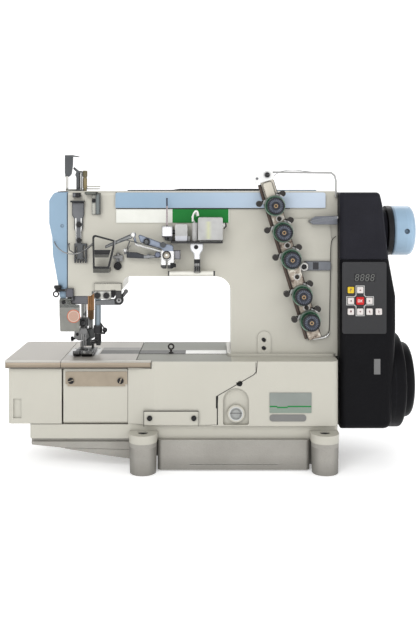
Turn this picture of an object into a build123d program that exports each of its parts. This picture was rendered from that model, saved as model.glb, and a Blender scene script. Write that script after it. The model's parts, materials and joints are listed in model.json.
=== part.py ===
from build123d import *
from math import cos, hypot, radians, sin
import os

# Flat-bed coverstitch machine head with a built-on motor, millimetres.
# +X runs from the needles to the handwheel, +Y away from the operator, +Z up.
# The origin is the middle of the four foot studs, on the surface that the feet stand on.

# Clearances
RUN = 0.06
SLIDE = 0.3
SEAM = 0.6

# Feet and base
foot_spacing_x = 245.0
foot_spacing_y = 160.0
foot_height = 42.0
foot_r = 18.5
foot_taper = 0.8
stud_bore_r = 4.5
stud_bore_depth = 18.0
foot_bolt_r = 4.0
foot_bolt_head_r = 6.4
ear_height = 11.0
base_left = -278.0
base_right = 142.0
base_front = -67.5
bed_back = 77.5
base_height = 19.0
base_top = foot_height + base_height

# Bed and its plates
bed_front = -75.5
bed_height = 106.0
bed_top = foot_height + bed_height
bed_corner_r = 10.0
bed_left = -143.8
plate_thickness = 10.1
plate_proud = 0.7
plate_top = bed_top + plate_proud
plate_seat = plate_top - plate_thickness
plate_left = -310.6
plate_front = -77.5
plate_nose_right = -112.0
plate_right = -133.0
door_seam = -234.5
needle_plate_thickness = 3.0
front_plate_knee_x = -22.2
front_plate_knee_z = 101.5
front_plate_shoulder_x = 30.0
front_plate_shoulder_z = 132.0

# Arm, column and head
arm_front = -35.5
arm_depth = 83.0
arm_back = arm_front + arm_depth
column_left = -3.0
column_right = 146.0
arm_bottom = 259.5
arm_top = 379.0
head_left = -231.0
head_right = -154.0
head_bottom = 239.0
nose_bottom = 232.0
nose_right = -198.0
throat_r = 22.0
arm_edge_r = 6.0
face_cover_depth = 26.3

# Drive end
axis_y = 7.5
shaft_z = 322.0
shaft_r = 9.0
housing_front = -62.0
housing_back = 77.0
housing_bottom = 52.0
neck_r = 30.0
housing_split = shaft_z - neck_r - 7.0
housing_top = 377.0
housing_edge_r = 9.0
motor_z = 107.0
motor_flange_r = 67.0
motor_flange_end = 239.0
motor_cap_r = 53.0
motor_cap_end = 254.0
ring_start = 220.0
wheel_start = 228.0
wheel_end = 259.0
wheel_r = 35.7

# Needle side
needle_x = -212.6
needle_y = -9.5
needle_bar_r = 4.0
needle_gauge = 2.8
needle_point = 153.0
clamp_bottom = 181.6
clamp_height = 16.0
clamp_width = 14.0
presser_x = -205.0
presser_y = 7.5
presser_bar_r = 3.2
bush_r = 5.0
cloth_gap = 0.9
sole_bottom = plate_top + cloth_gap
sole_thickness = 2.6
spreader_x = presser_x + 12.5
spreader_r = 4.35
looper_z = 82.0
looper_x = -205.0
looper_shaft_r = 6.0
lifter_x = -159.8
lifter_z = 225.7

# Take-up
takeup_x = -91.6
takeup_z = 288.6
takeup_front = -56.0
takeup_back = -48.5
takeup_shaft_r = 5.0
wedge_front = -46.0

# Guides on the head
guide_x = -216.1
guide_top = 363.0
guide_gap = 1.8
guide_thickness = 2.4
guide_flange = 6.8
guide_screw_r = 3.4
comb_top = 305.6
comb_bottom = 278.6
comb_pitch = 3.6
guard_front = -56.2
guard_thickness = 2.4
guard_foot = 271.5
top_plate_y = -17.5
top_plate_top = 429.8
top_rod_r = 1.8
regulator_x = -211.0
regulator_r = 2.6
regulator_nut_r = 3.5
thumb_knob_x = -244.2
thumb_knob_y = -40.8

# Tension unit: the post leans, and the tension stations lie along it
post_lean = 17.0
post_top_x = 46.6
post_top_z = 392.6
post_width = 18.6
post_clearance = 26.6
post_length = (post_top_z - bed_top - post_clearance) / cos(radians(post_lean))
post_back = -47.0
post_thickness = 3.0
knob_r = 11.8
knob_front = -77.0
knob_length = 14.0
knob_ribs = 18
tension_stud_r = 2.6
station_offsets = (35.8, 73.8, 112.8, 165.0, 201.6)

# Control panel
panel_left = 148.4
panel_right = 208.6
panel_bottom = housing_split - 101.2
panel_top = housing_split - 3.2
panel_thickness = 3.0
panel_front = housing_front - panel_thickness
key_size = 8.6
big_key_size = 10.5
key_proud = 1.4
key_depth = 1.8
key_pitch_x = 12.7
key_pitch_z = 14.75
key_origin_x = 172.5
key_origin_z = panel_bottom + 45.1

# Covers on the bed
cover_bottom = base_top + 1.0
cover_top = plate_seat - 2.2
cover_wall = 3.5
front_cover_left = -231.9
side_cover_left = -307.9
cover_inner_gap = 2.0
hinge_y = base_front + cover_wall + cover_inner_gap
hinge_z = cover_bottom + 5.2
hinge_pin_r = 1.5
hinge_eye_r = 3.0
door_x = -300.0
door_y = 71.0
door_pin_r = 3.0


def block(x0, x1, y0, y1, z0, z1):
    """Box between two corners."""
    return Pos((x0 + x1) / 2, (y0 + y1) / 2, (z0 + z1) / 2) * Box(x1 - x0, y1 - y0, z1 - z0)


def rod_x(x0, x1, y, z, r):
    """Round bar along X."""
    return Pos((x0 + x1) / 2, y, z) * Rot(0, 90, 0) * Cylinder(r, x1 - x0)


def rod_y(x, y0, y1, z, r):
    """Round bar along Y."""
    return Pos(x, (y0 + y1) / 2, z) * Rot(90, 0, 0) * Cylinder(r, y1 - y0)


def rod_z(x, y, z0, z1, r):
    """Round bar along Z."""
    return Pos(x, y, (z0 + z1) / 2) * Cylinder(r, z1 - z0)


def profile(*corners):
    """Closed face through (u, v, radius) corners, sharp where the radius is zero."""
    face = Sketch() + make_face(Polyline(*[(u, v) for u, v, r in corners], close=True))
    for u, v, r in corners:
        if r:
            face = fillet(face.vertices().sort_by_distance((u, v, 0))[0], r)
    return face


def prism_x(face, x0, x1):
    """Extrude a YZ face along X."""
    return Pos(x0, 0, 0) * extrude(Plane.YZ * face, x1 - x0)


def prism_y(face, y0, y1):
    """Extrude an XZ face along Y."""
    return Pos(0, y1, 0) * extrude(Plane.XZ * face, y1 - y0)


def prism_z(face, z0, z1):
    """Extrude an XY face along Z."""
    return Pos(0, 0, z0) * extrude(face, z1 - z0)


def pan_screw(x, y, z, r, shank_r, shank, height=2.4):
    """Slotted screw facing -Y: its head stands on the plane y, and its shank goes in behind."""
    head = rod_y(x, y - height, y, z, r)
    head = fillet(head.edges().sort_by(Axis.Y)[0], height * 0.4)
    slot = block(x - r, x + r, y - height - 1, y - height + 0.7, z - 0.5, z + 0.5)
    return head - slot + rod_y(x, y, y + shank, z, shank_r)


def foot_places():
    """Centres of the four feet."""
    half_x = foot_spacing_x / 2
    half_y = foot_spacing_y / 2
    return [(sx * half_x, sy * half_y) for sx in (-1, 1) for sy in (-1, 1)]


# Feet and reservoir

def machine_feet():
    """Four slightly tapered feet, bored for a stud below and a bolt above."""
    feet = []
    for x, y in foot_places():
        foot = Pos(x, y, foot_height / 2) * Cone(foot_r - foot_taper, foot_r, foot_height)
        foot = fillet(foot.edges().sort_by(Axis.Z)[0], 1.0)
        foot -= rod_z(x, y, 0, stud_bore_depth, stud_bore_r)
        foot -= rod_z(x, y, foot_height - 16, foot_height, foot_bolt_r)
        feet.append(foot)
    return feet


def foot_bolts():
    """Socket bolts that hold the feet from above."""
    bolts = []
    for x, y in foot_places():
        seat = foot_height + ear_height - 5
        bolt = rod_z(x, y, foot_height - 15, seat, foot_bolt_r)
        bolt += rod_z(x, y, seat, seat + 3.5, foot_bolt_head_r)
        socket = extrude(Pos(x, y, seat + 1.5) * RegularPolygon(3.2, 6), 3)
        bolts.append(bolt - socket)
    return bolts


def oil_reservoir():
    """Deep pan between the feet, with a shallow tail to the left and a cooling web under it."""
    deep_left = -foot_spacing_x / 2 + foot_r + 0.6
    deep_right = foot_spacing_x / 2 - foot_r - 1.2
    wing_front = -foot_spacing_y / 2 + foot_r + 3
    deep = prism_z(
        profile(
            (deep_left, bed_front, 6),
            (deep_right, bed_front, 6),
            (deep_right, -bed_front, 6),
            (deep_left, -bed_front, 6),
        ),
        1.6,
        foot_height,
    )
    wing = prism_x(
        profile(
            (wing_front, foot_height, 0),
            (wing_front + 3, 2, 4),
            (-wing_front - 3, 2, 4),
            (-wing_front, foot_height, 0),
        ),
        deep_right - 8,
        137,
    )
    tail = prism_y(
        profile(
            (base_left + 1, foot_height, 0),
            (base_left + 1, foot_height - 9, 3),
            (-150, foot_height - 15, 0),
            (-125, 22, 0),
            (deep_left + 4, 14, 0),
            (deep_left + 4, foot_height, 0),
        ),
        wing_front,
        -wing_front,
    )
    pan = deep + wing + tail
    return pan - block(-60, 60, bed_front - 1, bed_front + 1.2, 8, 10)


# Bed

def bed_casting():
    """Bed: base band with four foot ears, the solid right part, and the open looper chamber."""
    base = prism_z(
        profile(
            (base_left, base_front, 5),
            (base_right, base_front, 5),
            (base_right, bed_back, 8),
            (base_left, bed_back, 5),
        ),
        foot_height,
        base_top,
    )
    right = prism_z(
        profile(
            (bed_left, base_front, 0),
            (front_plate_shoulder_x - 40, base_front, 0),
            (front_plate_shoulder_x - 40, bed_back, 0),
            (bed_left, bed_back, 0),
        ),
        base_top,
        bed_top,
    )
    end = prism_z(
        profile(
            (front_plate_shoulder_x - 60, bed_front, 0),
            (base_right, bed_front, bed_corner_r),
            (base_right, bed_back, bed_corner_r),
            (front_plate_shoulder_x - 60, bed_back, 0),
        ),
        base_top,
        bed_top,
    )
    end -= prism_y(front_plate_outline(SEAM), bed_front - 1, base_front)
    bed = base + right + end
    wall = block(door_x + 8, bed_left + 1, bed_back - 12.5, bed_back, base_top, plate_seat)
    wall -= block(door_x, door_seam + SEAM, bed_back - 13, bed_back + 1, plate_seat - SLIDE, plate_seat + 1)
    bed += wall
    for x, y in foot_places():
        ear = rod_z(x, y, foot_height, foot_height + ear_height, foot_r + 0.4)
        inner = -foot_spacing_y / 2 + foot_r + 3 if y < 0 else foot_spacing_y / 2 - foot_r - 3
        neck = block(x - foot_r - 0.4, x + foot_r + 0.4, min(y, inner), max(y, inner), foot_height, foot_height + ear_height)
        bed += ear + neck
    for x, y in foot_places():
        bed -= rod_z(x, y, foot_height - 1, foot_height + ear_height + 30, foot_bolt_head_r + 0.6) & block(
            x - 20, x + 20, y - 20, y + 20, foot_height + ear_height - 5, foot_height + ear_height + 1
        )
        bed -= rod_z(x, y, foot_height - 1, foot_height + ear_height, foot_bolt_r)
    bed -= block(plate_left, plate_right + SEAM, plate_front - 5, bed_back + 1, plate_seat, bed_top + 1)
    bed -= nose_outline(SEAM)
    bed -= gauge_niche()
    for z in (base_top + 4, plate_seat - 20):
        lug = rod_z(door_x, door_y, z, z + 8, 6.4)
        lug += block(door_x, door_x + 12, door_y - 4, door_y + 6.4, z, z + 8)
        bed += lug
    bed -= rod_z(door_x, door_y, base_top, plate_seat, door_pin_r)
    bed -= rod_y(looper_x, bed_back - 14, bed_back - 2, looper_z, looper_shaft_r + RUN)
    bed -= block(
        needle_x - 3.5 - SLIDE, needle_x + 3.5 + SLIDE, bed_back - 14, bed_back + 1, 128 - SLIDE, 136 + SLIDE
    )
    return bed


def nose_outline(gap):
    """Space that the right tip of the plate's nose takes in the bed's front edge."""
    tip = profile(
        (plate_right - 20, plate_front - 6, 0),
        (plate_nose_right + gap, plate_front - 6, 0),
        (plate_nose_right + gap, base_front, 6),
        (plate_right + gap, base_front + 8, 0),
        (plate_right - 20, base_front + 8, 0),
    )
    return prism_z(tip, plate_seat - (gap if gap else 0), bed_top + 2)


def front_plate_outline(gap=0):
    """Outline in XZ of the raised front plate: a low right edge, a slanted shoulder and a short upright."""
    return profile(
        (bed_left, base_top + 1.7 - gap, 0),
        (front_plate_knee_x + gap, base_top + 1.7 - gap, 0),
        (front_plate_knee_x + gap, front_plate_knee_z, 0),
        (front_plate_shoulder_x + gap, front_plate_shoulder_z, 0),
        (front_plate_shoulder_x + 2 + gap, bed_top + 1, 0),
        (bed_left, bed_top + 1, 0),
    )


def bed_front_plate():
    """Raised plate on the bed's front, with a slanted left end and a half-round notch by its shoulder."""
    plate = prism_y(front_plate_outline(), bed_front, base_front)
    slant = profile(
        (bed_left - 1, bed_front - 1, 0),
        (-107.3, bed_front - 1, 0),
        (-107.3, bed_front, 0),
        (bed_left, base_front - 0.6, 0),
        (bed_left - 1, base_front - 0.6, 0),
    )
    plate -= prism_z(slant, base_top, bed_top + 2)
    plate += block(-122.5, -107, bed_front, base_front, base_top + 1.7, 82)
    plate -= block(bed_left - 1, front_plate_shoulder_x + 9, bed_front - 2, base_front + 1, bed_top, bed_top + 9)
    plate -= block(bed_left - 1, plate_right + SEAM, bed_front - 9, base_front + 1, plate_seat, bed_top + 1)
    plate -= nose_outline(SEAM)
    plate -= rod_y(8.4, bed_front - 1, bed_front + 4, 118, 4)
    for x in (-113.8, -54.1):
        plate -= rod_y(x, bed_front - 1, base_front, 72, 2)
    return plate


def inspection_cover():
    """Small flat cover on the front plate."""
    cover = prism_y(
        profile((-121.7, 62.9, 2), (-47.2, 62.9, 2), (-47.2, 80.8, 2), (-121.7, 80.8, 2)),
        bed_front - 2,
        bed_front,
    )
    for x in (-113.8, -54.1):
        cover -= rod_y(x, bed_front - 3, bed_front, 72, 2)
    return cover


def inspection_screws():
    """Two screws of the inspection cover."""
    return [pan_screw(x, bed_front - 2, 72, 3.6, 2, 6) for x in (-113.8, -54.1)]


def gauge_niche():
    """Arched niche in the bed's front for the oil gauge."""
    arch = profile((-14.7, 62, 3), (20.4, 62, 3), (20.4, 112, 17), (-14.7, 112, 17))
    return prism_y(arch, bed_front - 1, bed_front + 6)


def oil_gauge():
    """Round gauge with a glass bead in the middle."""
    seat = bed_front + 6
    gauge = rod_y(3, seat - 5, seat, 77, 12)
    gauge = fillet(gauge.edges().sort_by(Axis.Y)[0], 1.5)
    gauge -= rod_y(3, seat - 6, seat - 3, 77, 7.5)
    return gauge + rod_y(3, seat - 4, seat - 1, 77, 5.5)


def blank_plates():
    """Bare name strip on the arm, and two bare labels on the bed."""
    strip = block(-163.5, -85.5, arm_front - 1.2, arm_front, 334.4, 354)
    strip_right = block(-85.5, -5.4, arm_front - 1.2, arm_front, 334.4, 354)
    label = block(48.3, 104.9, bed_front - 0.8, bed_front, 78.8, 106)
    pill = prism_y(
        profile(
            (48.3, 67.3, 4),
            (97.8, 67.3, 4),
            (97.8, 76.4, 4),
            (48.3, 76.4, 4),
        ), bed_front - 0.8, bed_front
    )
    return [strip, strip_right, label, pill]


def plate_section(left, right, rear):
    """Plate with its rounded nose, as a YZ section run from left to right."""
    section = profile(
        (plate_front, plate_seat, 4.4),
        (plate_front, plate_top, 5.4),
        (rear, plate_top, 1.5),
        (rear, plate_seat, 0),
    )
    return prism_x(section, left, right)


def cloth_plate():
    """Fixed cloth plate: a nose tip past its right seam, an opening for the needle plate and a strip groove."""
    plate = plate_section(door_seam + SEAM, plate_right, bed_back)
    tip = plate_section(plate_right - 1, plate_nose_right, base_front - 0.5)
    tip &= prism_z(
        profile(
            (plate_right - 2, plate_front - 1, 0),
            (plate_nose_right, plate_front - 1, 5),
            (plate_nose_right, base_front - 0.5, 5),
            (plate_right - 2, base_front - 0.5, 0),
        ),
        plate_seat,
        plate_top,
    )
    plate += tip
    opening = needle_plate_outline(0.1)
    plate -= prism_z(opening, plate_top - needle_plate_thickness, plate_top + 1)
    plate -= block(-229, -193, -28, 17, plate_seat - 1, plate_top)
    return plate - block(*strip_span(), plate_top - 1.5, plate_top + 1)


def strip_span():
    """Extent in X and Y of the strip groove beside the needle plate."""
    return -188.0, plate_right + 1, -21.5, 4.5


def needle_plate_outline(gap):
    """Outline in XY of the needle plate."""
    return profile(
        (-232 - gap, -34 - gap, 3),
        (-190 + gap, -34 - gap, 3),
        (-190 + gap, 22 + gap, 3),
        (-232 - gap, 22 + gap, 3),
    )


def needle_plate():
    """Needle plate with a needle slot and two feed slots."""
    plate = prism_z(needle_plate_outline(0), plate_top - needle_plate_thickness, plate_top)
    z0, z1 = plate_top - needle_plate_thickness - 1, plate_top + 1
    plate -= block(needle_x - 4.8, needle_x + 4.8, needle_y - 1.8, needle_y + 1.8, z0, z1)
    for x in feed_rows():
        plate -= block(x - 2.4, x + 2.4, -26, 15, z0, z1)
    for x in (-228, -194):
        plate -= Pos(x, 18, plate_top - 0.9) * Cone(1.2, 2.4, 1.8)
    return plate


def feed_rows():
    """X of the two rows of feed teeth, one on each side of the needles."""
    return needle_x - 7.6, needle_x + 7.6


def slide_strips():
    """Dark and bright strips that fill the groove, with the eye screw's seat between them."""
    x0, x1, y0, y1 = strip_span()
    dark = block(x0, x1 - 1 - 0.1, y0 + 0.1, y1 - 0.1, plate_top - 1.5, plate_top)
    bed_dark = block(plate_right + SEAM + 0.6, -67, y0 + 0.1, y1 - 0.1, bed_top, bed_top + 0.7)
    bright = block(-66.9, column_left - 5.5, y0 + 0.1, y1 - 0.1, bed_top, bed_top + 0.7)
    return [dark, bed_dark, bright]


def eye_screw():
    """Eye screw on the strip, its ring square to X-Z."""
    x, y, z = -87.6, -15.5, bed_top + 0.7
    ring = Pos(x, y, z + 8.9) * Rot(90, 0, 0) * Torus(3.6, 1.2)
    stem = rod_z(x, y, z, z + 5.4, 1.6)
    collar = rod_z(x, y, z, z + 1.6, 3.4)
    return ring + stem + collar


# Covers of the looper chamber

def front_cover():
    """Door in front of the loopers. Its hinge eyes run along its lower edge."""
    face = profile(
        (front_cover_left, cover_bottom, 1.5),
        (bed_left - SEAM, cover_bottom, 1.5),
        (bed_left - SEAM, cover_top, 2),
        (front_cover_left, cover_top, 2),
    )
    cover = prism_y(face, base_front, base_front + cover_wall)
    bevel = profile(
        (base_front - 1, cover_bottom - 1, 0),
        (base_front + 3.4, cover_bottom - 1, 0),
        (base_front - 1, cover_bottom + 3.9, 0),
    )
    cover -= prism_x(bevel, front_cover_left, bed_left)
    for x0 in (front_cover_left + 6, bed_left - SEAM - 16):
        eye = rod_x(x0, x0 + 10, hinge_y, hinge_z, hinge_eye_r)
        eye += block(x0, x0 + 10, base_front + cover_wall - 0.5, hinge_y, hinge_z - hinge_eye_r, hinge_z + hinge_eye_r)
        cover += eye
    cover += block(front_cover_left + 20, front_cover_left + 24, base_front + 3, base_front + 7, 80, 128)
    cover += block(bed_left - 24, bed_left - 20, base_front + 3, base_front + 7, 80, 128)
    cover -= rod_x(front_cover_left, bed_left, hinge_y, hinge_z, hinge_pin_r + RUN)
    for x in (-221.3, -153.9):
        cover -= rod_y(x, base_front - 1, base_front + 2.2, 120.9, 1.8)
    return cover


def hinge_brackets():
    """Two brackets on the base that hold the front cover's pins from behind, clear of its lower edge."""
    parts = []
    arm_half = cover_inner_gap - SLIDE
    reach = hypot(cover_inner_gap, hinge_z - cover_bottom) + 1.4
    back = hinge_y + reach + 4
    for x0 in (front_cover_left + 16.4, bed_left - SEAM - 22.4):
        lug = block(x0, x0 + 6, hinge_y, back, hinge_z - arm_half, hinge_z + arm_half)
        lug += rod_x(x0, x0 + 6, hinge_y, hinge_z, arm_half)
        lug += block(x0, x0 + 6, hinge_y + reach, back, base_top, hinge_z + arm_half)
        lug += block(x0, x0 + 6, hinge_y + reach, back + 10, base_top, base_top + 3)
        far = x0 - 10.2 if x0 < -190 else x0 + 16.2
        pin = rod_x(min(x0, far), max(x0 + 6, far), hinge_y, hinge_z, hinge_pin_r)
        parts.append(lug + pin)
    return parts


def front_cover_plate():
    """Thin metal plate on the front cover, notched round its two screws."""
    face = profile((-228.9, 113, 0), (-145, 113, 0), (-145, 133, 0), (-228.9, 133, 0))
    plate = prism_y(face, base_front - 1.2, base_front)
    for x in (-221.3, -153.9):
        plate -= rod_y(x, base_front - 2, base_front, 120.9, 1.8)
    for x0 in (-229.9, -148):
        plate -= block(x0, x0 + 4, base_front - 2, base_front + 1, 112, 116)
    screws = [pan_screw(x, base_front - 1.2, 120.9, 4.0, 1.8, 3) for x in (-221.3, -153.9)]
    return [plate] + screws


def side_cover():
    """Door at the left end: front wall, end wall and hinge barrel at the rear."""
    face = profile(
        (side_cover_left, base_front, 7),
        (door_seam + 0.2, base_front, 0),
        (door_seam + 0.2, base_front + cover_wall, 0),
        (side_cover_left + cover_wall, base_front + cover_wall, 4),
        (side_cover_left + cover_wall, door_y - 7, 0),
        (door_x + 2, door_y - 7, 0),
        (door_x + 2, door_y, 0),
        (side_cover_left, door_y, 3),
    )
    cover = prism_z(face, cover_bottom, cover_top)
    cover += rod_z(door_x, door_y, cover_bottom, cover_top, 6)
    for z in (base_top + 4, plate_seat - 20):
        cover -= rod_z(door_x, door_y, z - SLIDE, z + 8 + SLIDE, 13)
    cover -= block(-300, -289, base_front - 1, base_front + 2, 69.4, 96)
    cover += block(side_cover_left, door_x - 2, -30, 30, cover_top, plate_seat)
    return cover - rod_z(door_x, door_y, base_top, plate_seat, door_pin_r + RUN)


def door_pin():
    """Vertical pin of the side cover's hinge."""
    return rod_z(door_x, door_y, base_top + 4, plate_seat - 6, door_pin_r)


def swing_plate():
    """Left part of the cloth plate, which swings out with the side cover."""
    plate = plate_section(plate_left, door_seam, bed_back)
    corner = prism_z(
        profile(
            (plate_left, plate_front, 6),
            (door_seam, plate_front, 0),
            (door_seam, bed_back, 0),
            (plate_left, bed_back, 8),
        ),
        plate_seat,
        plate_top,
    )
    return plate & corner


# Arm, head and their covers

def arm_casting():
    """Column, arm and head in one casting, with a round throat corner and the bores of the moving bars."""
    face = profile(
        (column_left, bed_top, 0),
        (column_right, bed_top, 0),
        (column_right, arm_top, 6),
        (head_left, arm_top, 0),
        (head_left, nose_bottom, 0),
        (nose_right, nose_bottom, 2),
        (nose_right, head_bottom, 2),
        (head_right, head_bottom, 5),
        (head_right, arm_bottom, 10),
        (column_left, arm_bottom, throat_r),
    )
    arm = prism_y(face, arm_front, arm_back)
    section = profile(
        (arm_front, bed_top, 0),
        (arm_back, bed_top, 0),
        (arm_back, arm_top, arm_edge_r),
        (arm_front, arm_top, arm_edge_r),
    )
    arm &= prism_x(section, head_left, column_right)
    foot = prism_z(
        profile(
            (column_left - 5, arm_front - 5, 8),
            (column_right - 4, arm_front - 5, 4),
            (column_right - 4, arm_back + 5, 4),
            (column_left - 5, arm_back + 5, 8),
        ),
        bed_top,
        bed_top + 4,
    )
    arm += foot
    oval = rod_y(43.5, arm_front - 1.5, arm_front + 1, 173.5, 9.35)
    oval += rod_y(43.5, arm_front - 1.5, arm_front + 1, 156.5, 9.35)
    oval += block(43.5 - 9.35, 43.5 + 9.35, arm_front - 1.5, arm_front + 1, 156.5, 173.5)
    oval &= block(30, 60, arm_front - 2, arm_front + 2, bed_top, 190)
    arm += oval
    for z in (170.4, 159.1):
        arm -= rod_y(43.5, arm_front - 2, arm_front + 4, z, 2.8)
    arm -= rod_x(100, column_right + 1, axis_y, shaft_z, shaft_r + RUN)
    arm -= rod_y(takeup_x, arm_front - 1, arm_front + 19, takeup_z, takeup_shaft_r + RUN)
    arm -= rod_z(needle_x, needle_y, nose_bottom - 1, arm_top - 6, needle_bar_r + RUN)
    arm -= rod_z(presser_x, presser_y, nose_bottom - 1, arm_top - 30, presser_bar_r + RUN)
    arm -= rod_z(spreader_x, needle_y, head_bottom - 1, 300, spreader_r + RUN)
    return arm


def face_cover():
    """Curved cover on the left end of the head."""
    x = head_left
    face = profile(
        (x, arm_top - 2, 0),
        (x - 19, arm_top - 2, 7),
        (x - face_cover_depth, 366, 7),
        (x - face_cover_depth, 334, 12),
        (x - 22, 314, 10),
        (x - 21, 289, 20),
        (x - 13.5, 247, 14),
        (x - 11, 228.4, 3),
        (x - 3, 228.4, 2),
        (x, nose_bottom + 1, 0),
    )
    cover = prism_y(face, arm_front, arm_back)
    return cover - rod_y(x - 8, arm_front - 1, arm_front + 1.2, 330, 2.6)


def top_cover():
    """Long shallow cover along the top edge of the arm's front, and the thin rear cover above it."""
    band = prism_y(
        profile(
            (-164.4, 355.2, 1),
            (129, 355.2, 1),
            (129, 376.7, 3),
            (-164.4, 376.7, 3),
        ), arm_front - 2.6, arm_front
    )
    return band


def rear_cover():
    """Flat cover on top of the arm."""
    return prism_z(
        profile((-150, -12, 4), (120, -12, 4), (120, 40, 4), (-150, 40, 4)), arm_top, arm_top + 1.6
    )


def column_cover():
    """Cover plate on the column beside the tension post."""
    face = profile(
        (104, 168.5, 3),
        (134.5, 175, 6),
        (137.7, 309, 8),
        (134, 340, 8),
        (62, 340, 6),
    )
    return prism_y(face, arm_front - 2.2, arm_front)


# Drive end

def housing_profile():
    """Right-hand silhouette of the black housing, as X at each height."""
    lower = housing_split - housing_bottom
    upper = housing_top - housing_split
    return [
        (motor_flange_end - 22, housing_bottom + 3),
        (motor_flange_end - 16, housing_bottom + 0.588 * lower),
        (motor_flange_end - 16, housing_bottom + 0.781 * lower),
        (ring_start - 6.5, housing_split),
        (ring_start - 15, housing_split + 0.815 * upper),
        (ring_start - 19, housing_top),
    ]


def motor_housing():
    """Lower housing: it wraps the drive belt and carries the panel and the motor."""
    right = housing_profile()
    face = profile(
        (column_right, housing_bottom, 3),
        (right[0][0], housing_bottom, 12),
        (right[1][0], right[1][1], 30),
        (right[2][0], right[2][1], 30),
        (right[3][0], housing_split, 0),
        (column_right, housing_split, 0),
    )
    body = prism_y(face, housing_front, housing_back)
    body = round_housing(body)
    body += rod_x(motor_flange_end - 39, motor_flange_end - 15, axis_y, motor_z, motor_flange_r)
    return body


def round_housing(body):
    """Round the front and rear outer edges on the right side of a housing part."""
    def outer(e):
        c = e.center()
        on_face = abs(c.Y - housing_front) < 0.01 or abs(c.Y - housing_back) < 0.01
        return on_face and c.X > column_right + 40 and abs(c.Z - housing_split) > 1
    return fillet([e for e in body.edges() if outer(e)], housing_edge_r)


def motor_cover():
    """Upper housing, with a round neck where the upper shaft comes out."""
    right = housing_profile()
    face = profile(
        (column_right, housing_split + SEAM, 0),
        (right[3][0], housing_split + SEAM, 0),
        (right[4][0], right[4][1], 20),
        (right[5][0], right[5][1], 6),
        (column_right, right[5][1], 4),
    )
    body = round_housing(prism_y(face, housing_front, housing_back))
    body += rod_x(ring_start - 30, ring_start - SEAM, axis_y, shaft_z, neck_r)
    return body - rod_x(column_right - 1, ring_start, axis_y, shaft_z, shaft_r + RUN)


def motor_end_cap():
    """Motor flange and domed end cap."""
    start = motor_flange_end - 15
    flange = rod_x(start, motor_flange_end, axis_y, motor_z, motor_flange_r)
    flange = fillet(flange.edges().sort_by(Axis.X)[-1], 5)
    cap = rod_x(motor_flange_end - 1, motor_cap_end, axis_y, motor_z, motor_cap_r)
    cap = fillet(cap.edges().sort_by(Axis.X)[-1], 8)
    body = flange + cap
    for i in range(12):
        a = radians(30 * i + 15)
        y = axis_y + (motor_cap_r + 6.5) * cos(a)
        z = motor_z + (motor_cap_r + 6.5) * sin(a)
        body -= rod_x(motor_flange_end - 3, motor_flange_end + 1, y, z, 3)
    return body


def upper_shaft():
    """Upper shaft from the column to the handwheel, with the dark ring on it."""
    shaft = rod_x(102, wheel_end - 4, axis_y, shaft_z, shaft_r)
    ring = rod_x(ring_start, wheel_start - 0.2, axis_y, shaft_z, wheel_r)
    return shaft + fillet(ring.edges(), 1.2)


def handwheel():
    """Handwheel with a rounded rim, a dished face and two finger holes."""
    half = profile(
        (shaft_r, wheel_start, 0),
        (wheel_r, wheel_start, 2),
        (wheel_r, wheel_end, 8),
        (24, wheel_end, 3),
        (20, wheel_end - 5, 3),
        (shaft_r, wheel_end - 5, 0),
    )
    solid = revolve(Plane.XZ * half, Axis.Z)
    wheel = Pos(0, axis_y, shaft_z) * Rot(0, 90, 0) * solid
    for side in (-1, 1):
        x = (wheel_start + wheel_end) / 2 + 2
        wheel -= rod_y(x, axis_y + side * wheel_r - 6, axis_y + side * wheel_r + 6, shaft_z, 3.8)
    return wheel


# Control panel

def key_places():
    """Name, centre and size of each key: a cross of four round the middle one, with two pairs beside it."""
    ox, oz, dx, dz = key_origin_x, key_origin_z, key_pitch_x, key_pitch_z
    return {
        "key_program": (ox - dx, oz + dz, key_size),
        "key_up": (ox, oz + dz, key_size),
        "key_left": (ox - dx, oz, key_size),
        "key_enter": (ox, oz, big_key_size),
        "key_right": (ox + dx, oz, key_size),
        "key_light": (ox - dx, oz - dz, key_size),
        "key_down": (ox, oz - dz, key_size),
        "key_speed": (ox + dx, oz - dz, key_size),
        "key_needle": (ox + 2 * dx, oz - dz, key_size),
    }


def control_panel():
    """Panel on the housing's front, with a display window and a pocket for each key."""
    face = profile(
        (panel_left, panel_bottom, 3),
        (panel_right, panel_bottom, 3),
        (panel_right, panel_top, 3),
        (panel_left, panel_top, 3),
    )
    panel = prism_y(face, panel_front, housing_front)
    x, z = key_origin_x + 6.3, panel_bottom + 76.7
    panel -= block(x - 14.5, x + 14.5, panel_front - 1, panel_front + 1, z - 5.5, z + 5.5)
    for x, z, size in key_places().values():
        half = size / 2 + SLIDE
        panel -= block(x - half, x + half, panel_front - 1, housing_front - 0.2, z - half, z + half)
    return panel


def key(x, z, size):
    """One square key, proud of the panel."""
    half = size / 2
    face = profile(
        (x - half, z - half, 1.2),
        (x + half, z - half, 1.2),
        (x + half, z + half, 1.2),
        (x - half, z + half, 1.2),
    )
    body = prism_y(face, panel_front - key_proud, panel_front + key_depth - 0.3)
    return chamfer(body.faces().sort_by(Axis.Y)[0].edges(), 0.4)


def level_window():
    """Small window low on the housing."""
    return block(192, 200.6, housing_front - 0.8, housing_front, 128, 149)


# Tension unit

def on_post(along, across, y=0.0):
    """Point on the leaning post: along runs down it, across to its right."""
    a = radians(post_lean)
    return (
        post_top_x + along * sin(a) + across * cos(a),
        y,
        post_top_z - along * cos(a) + across * sin(a),
    )


def post_face(along0, along1, across0, across1, r=0.0):
    """Rectangle laid along the post."""
    corners = [(along0, across0), (along1, across0), (along1, across1), (along0, across1)]
    points = [on_post(*c) for c in corners]
    return profile(*[(x, z, r) for x, y, z in points])


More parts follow.
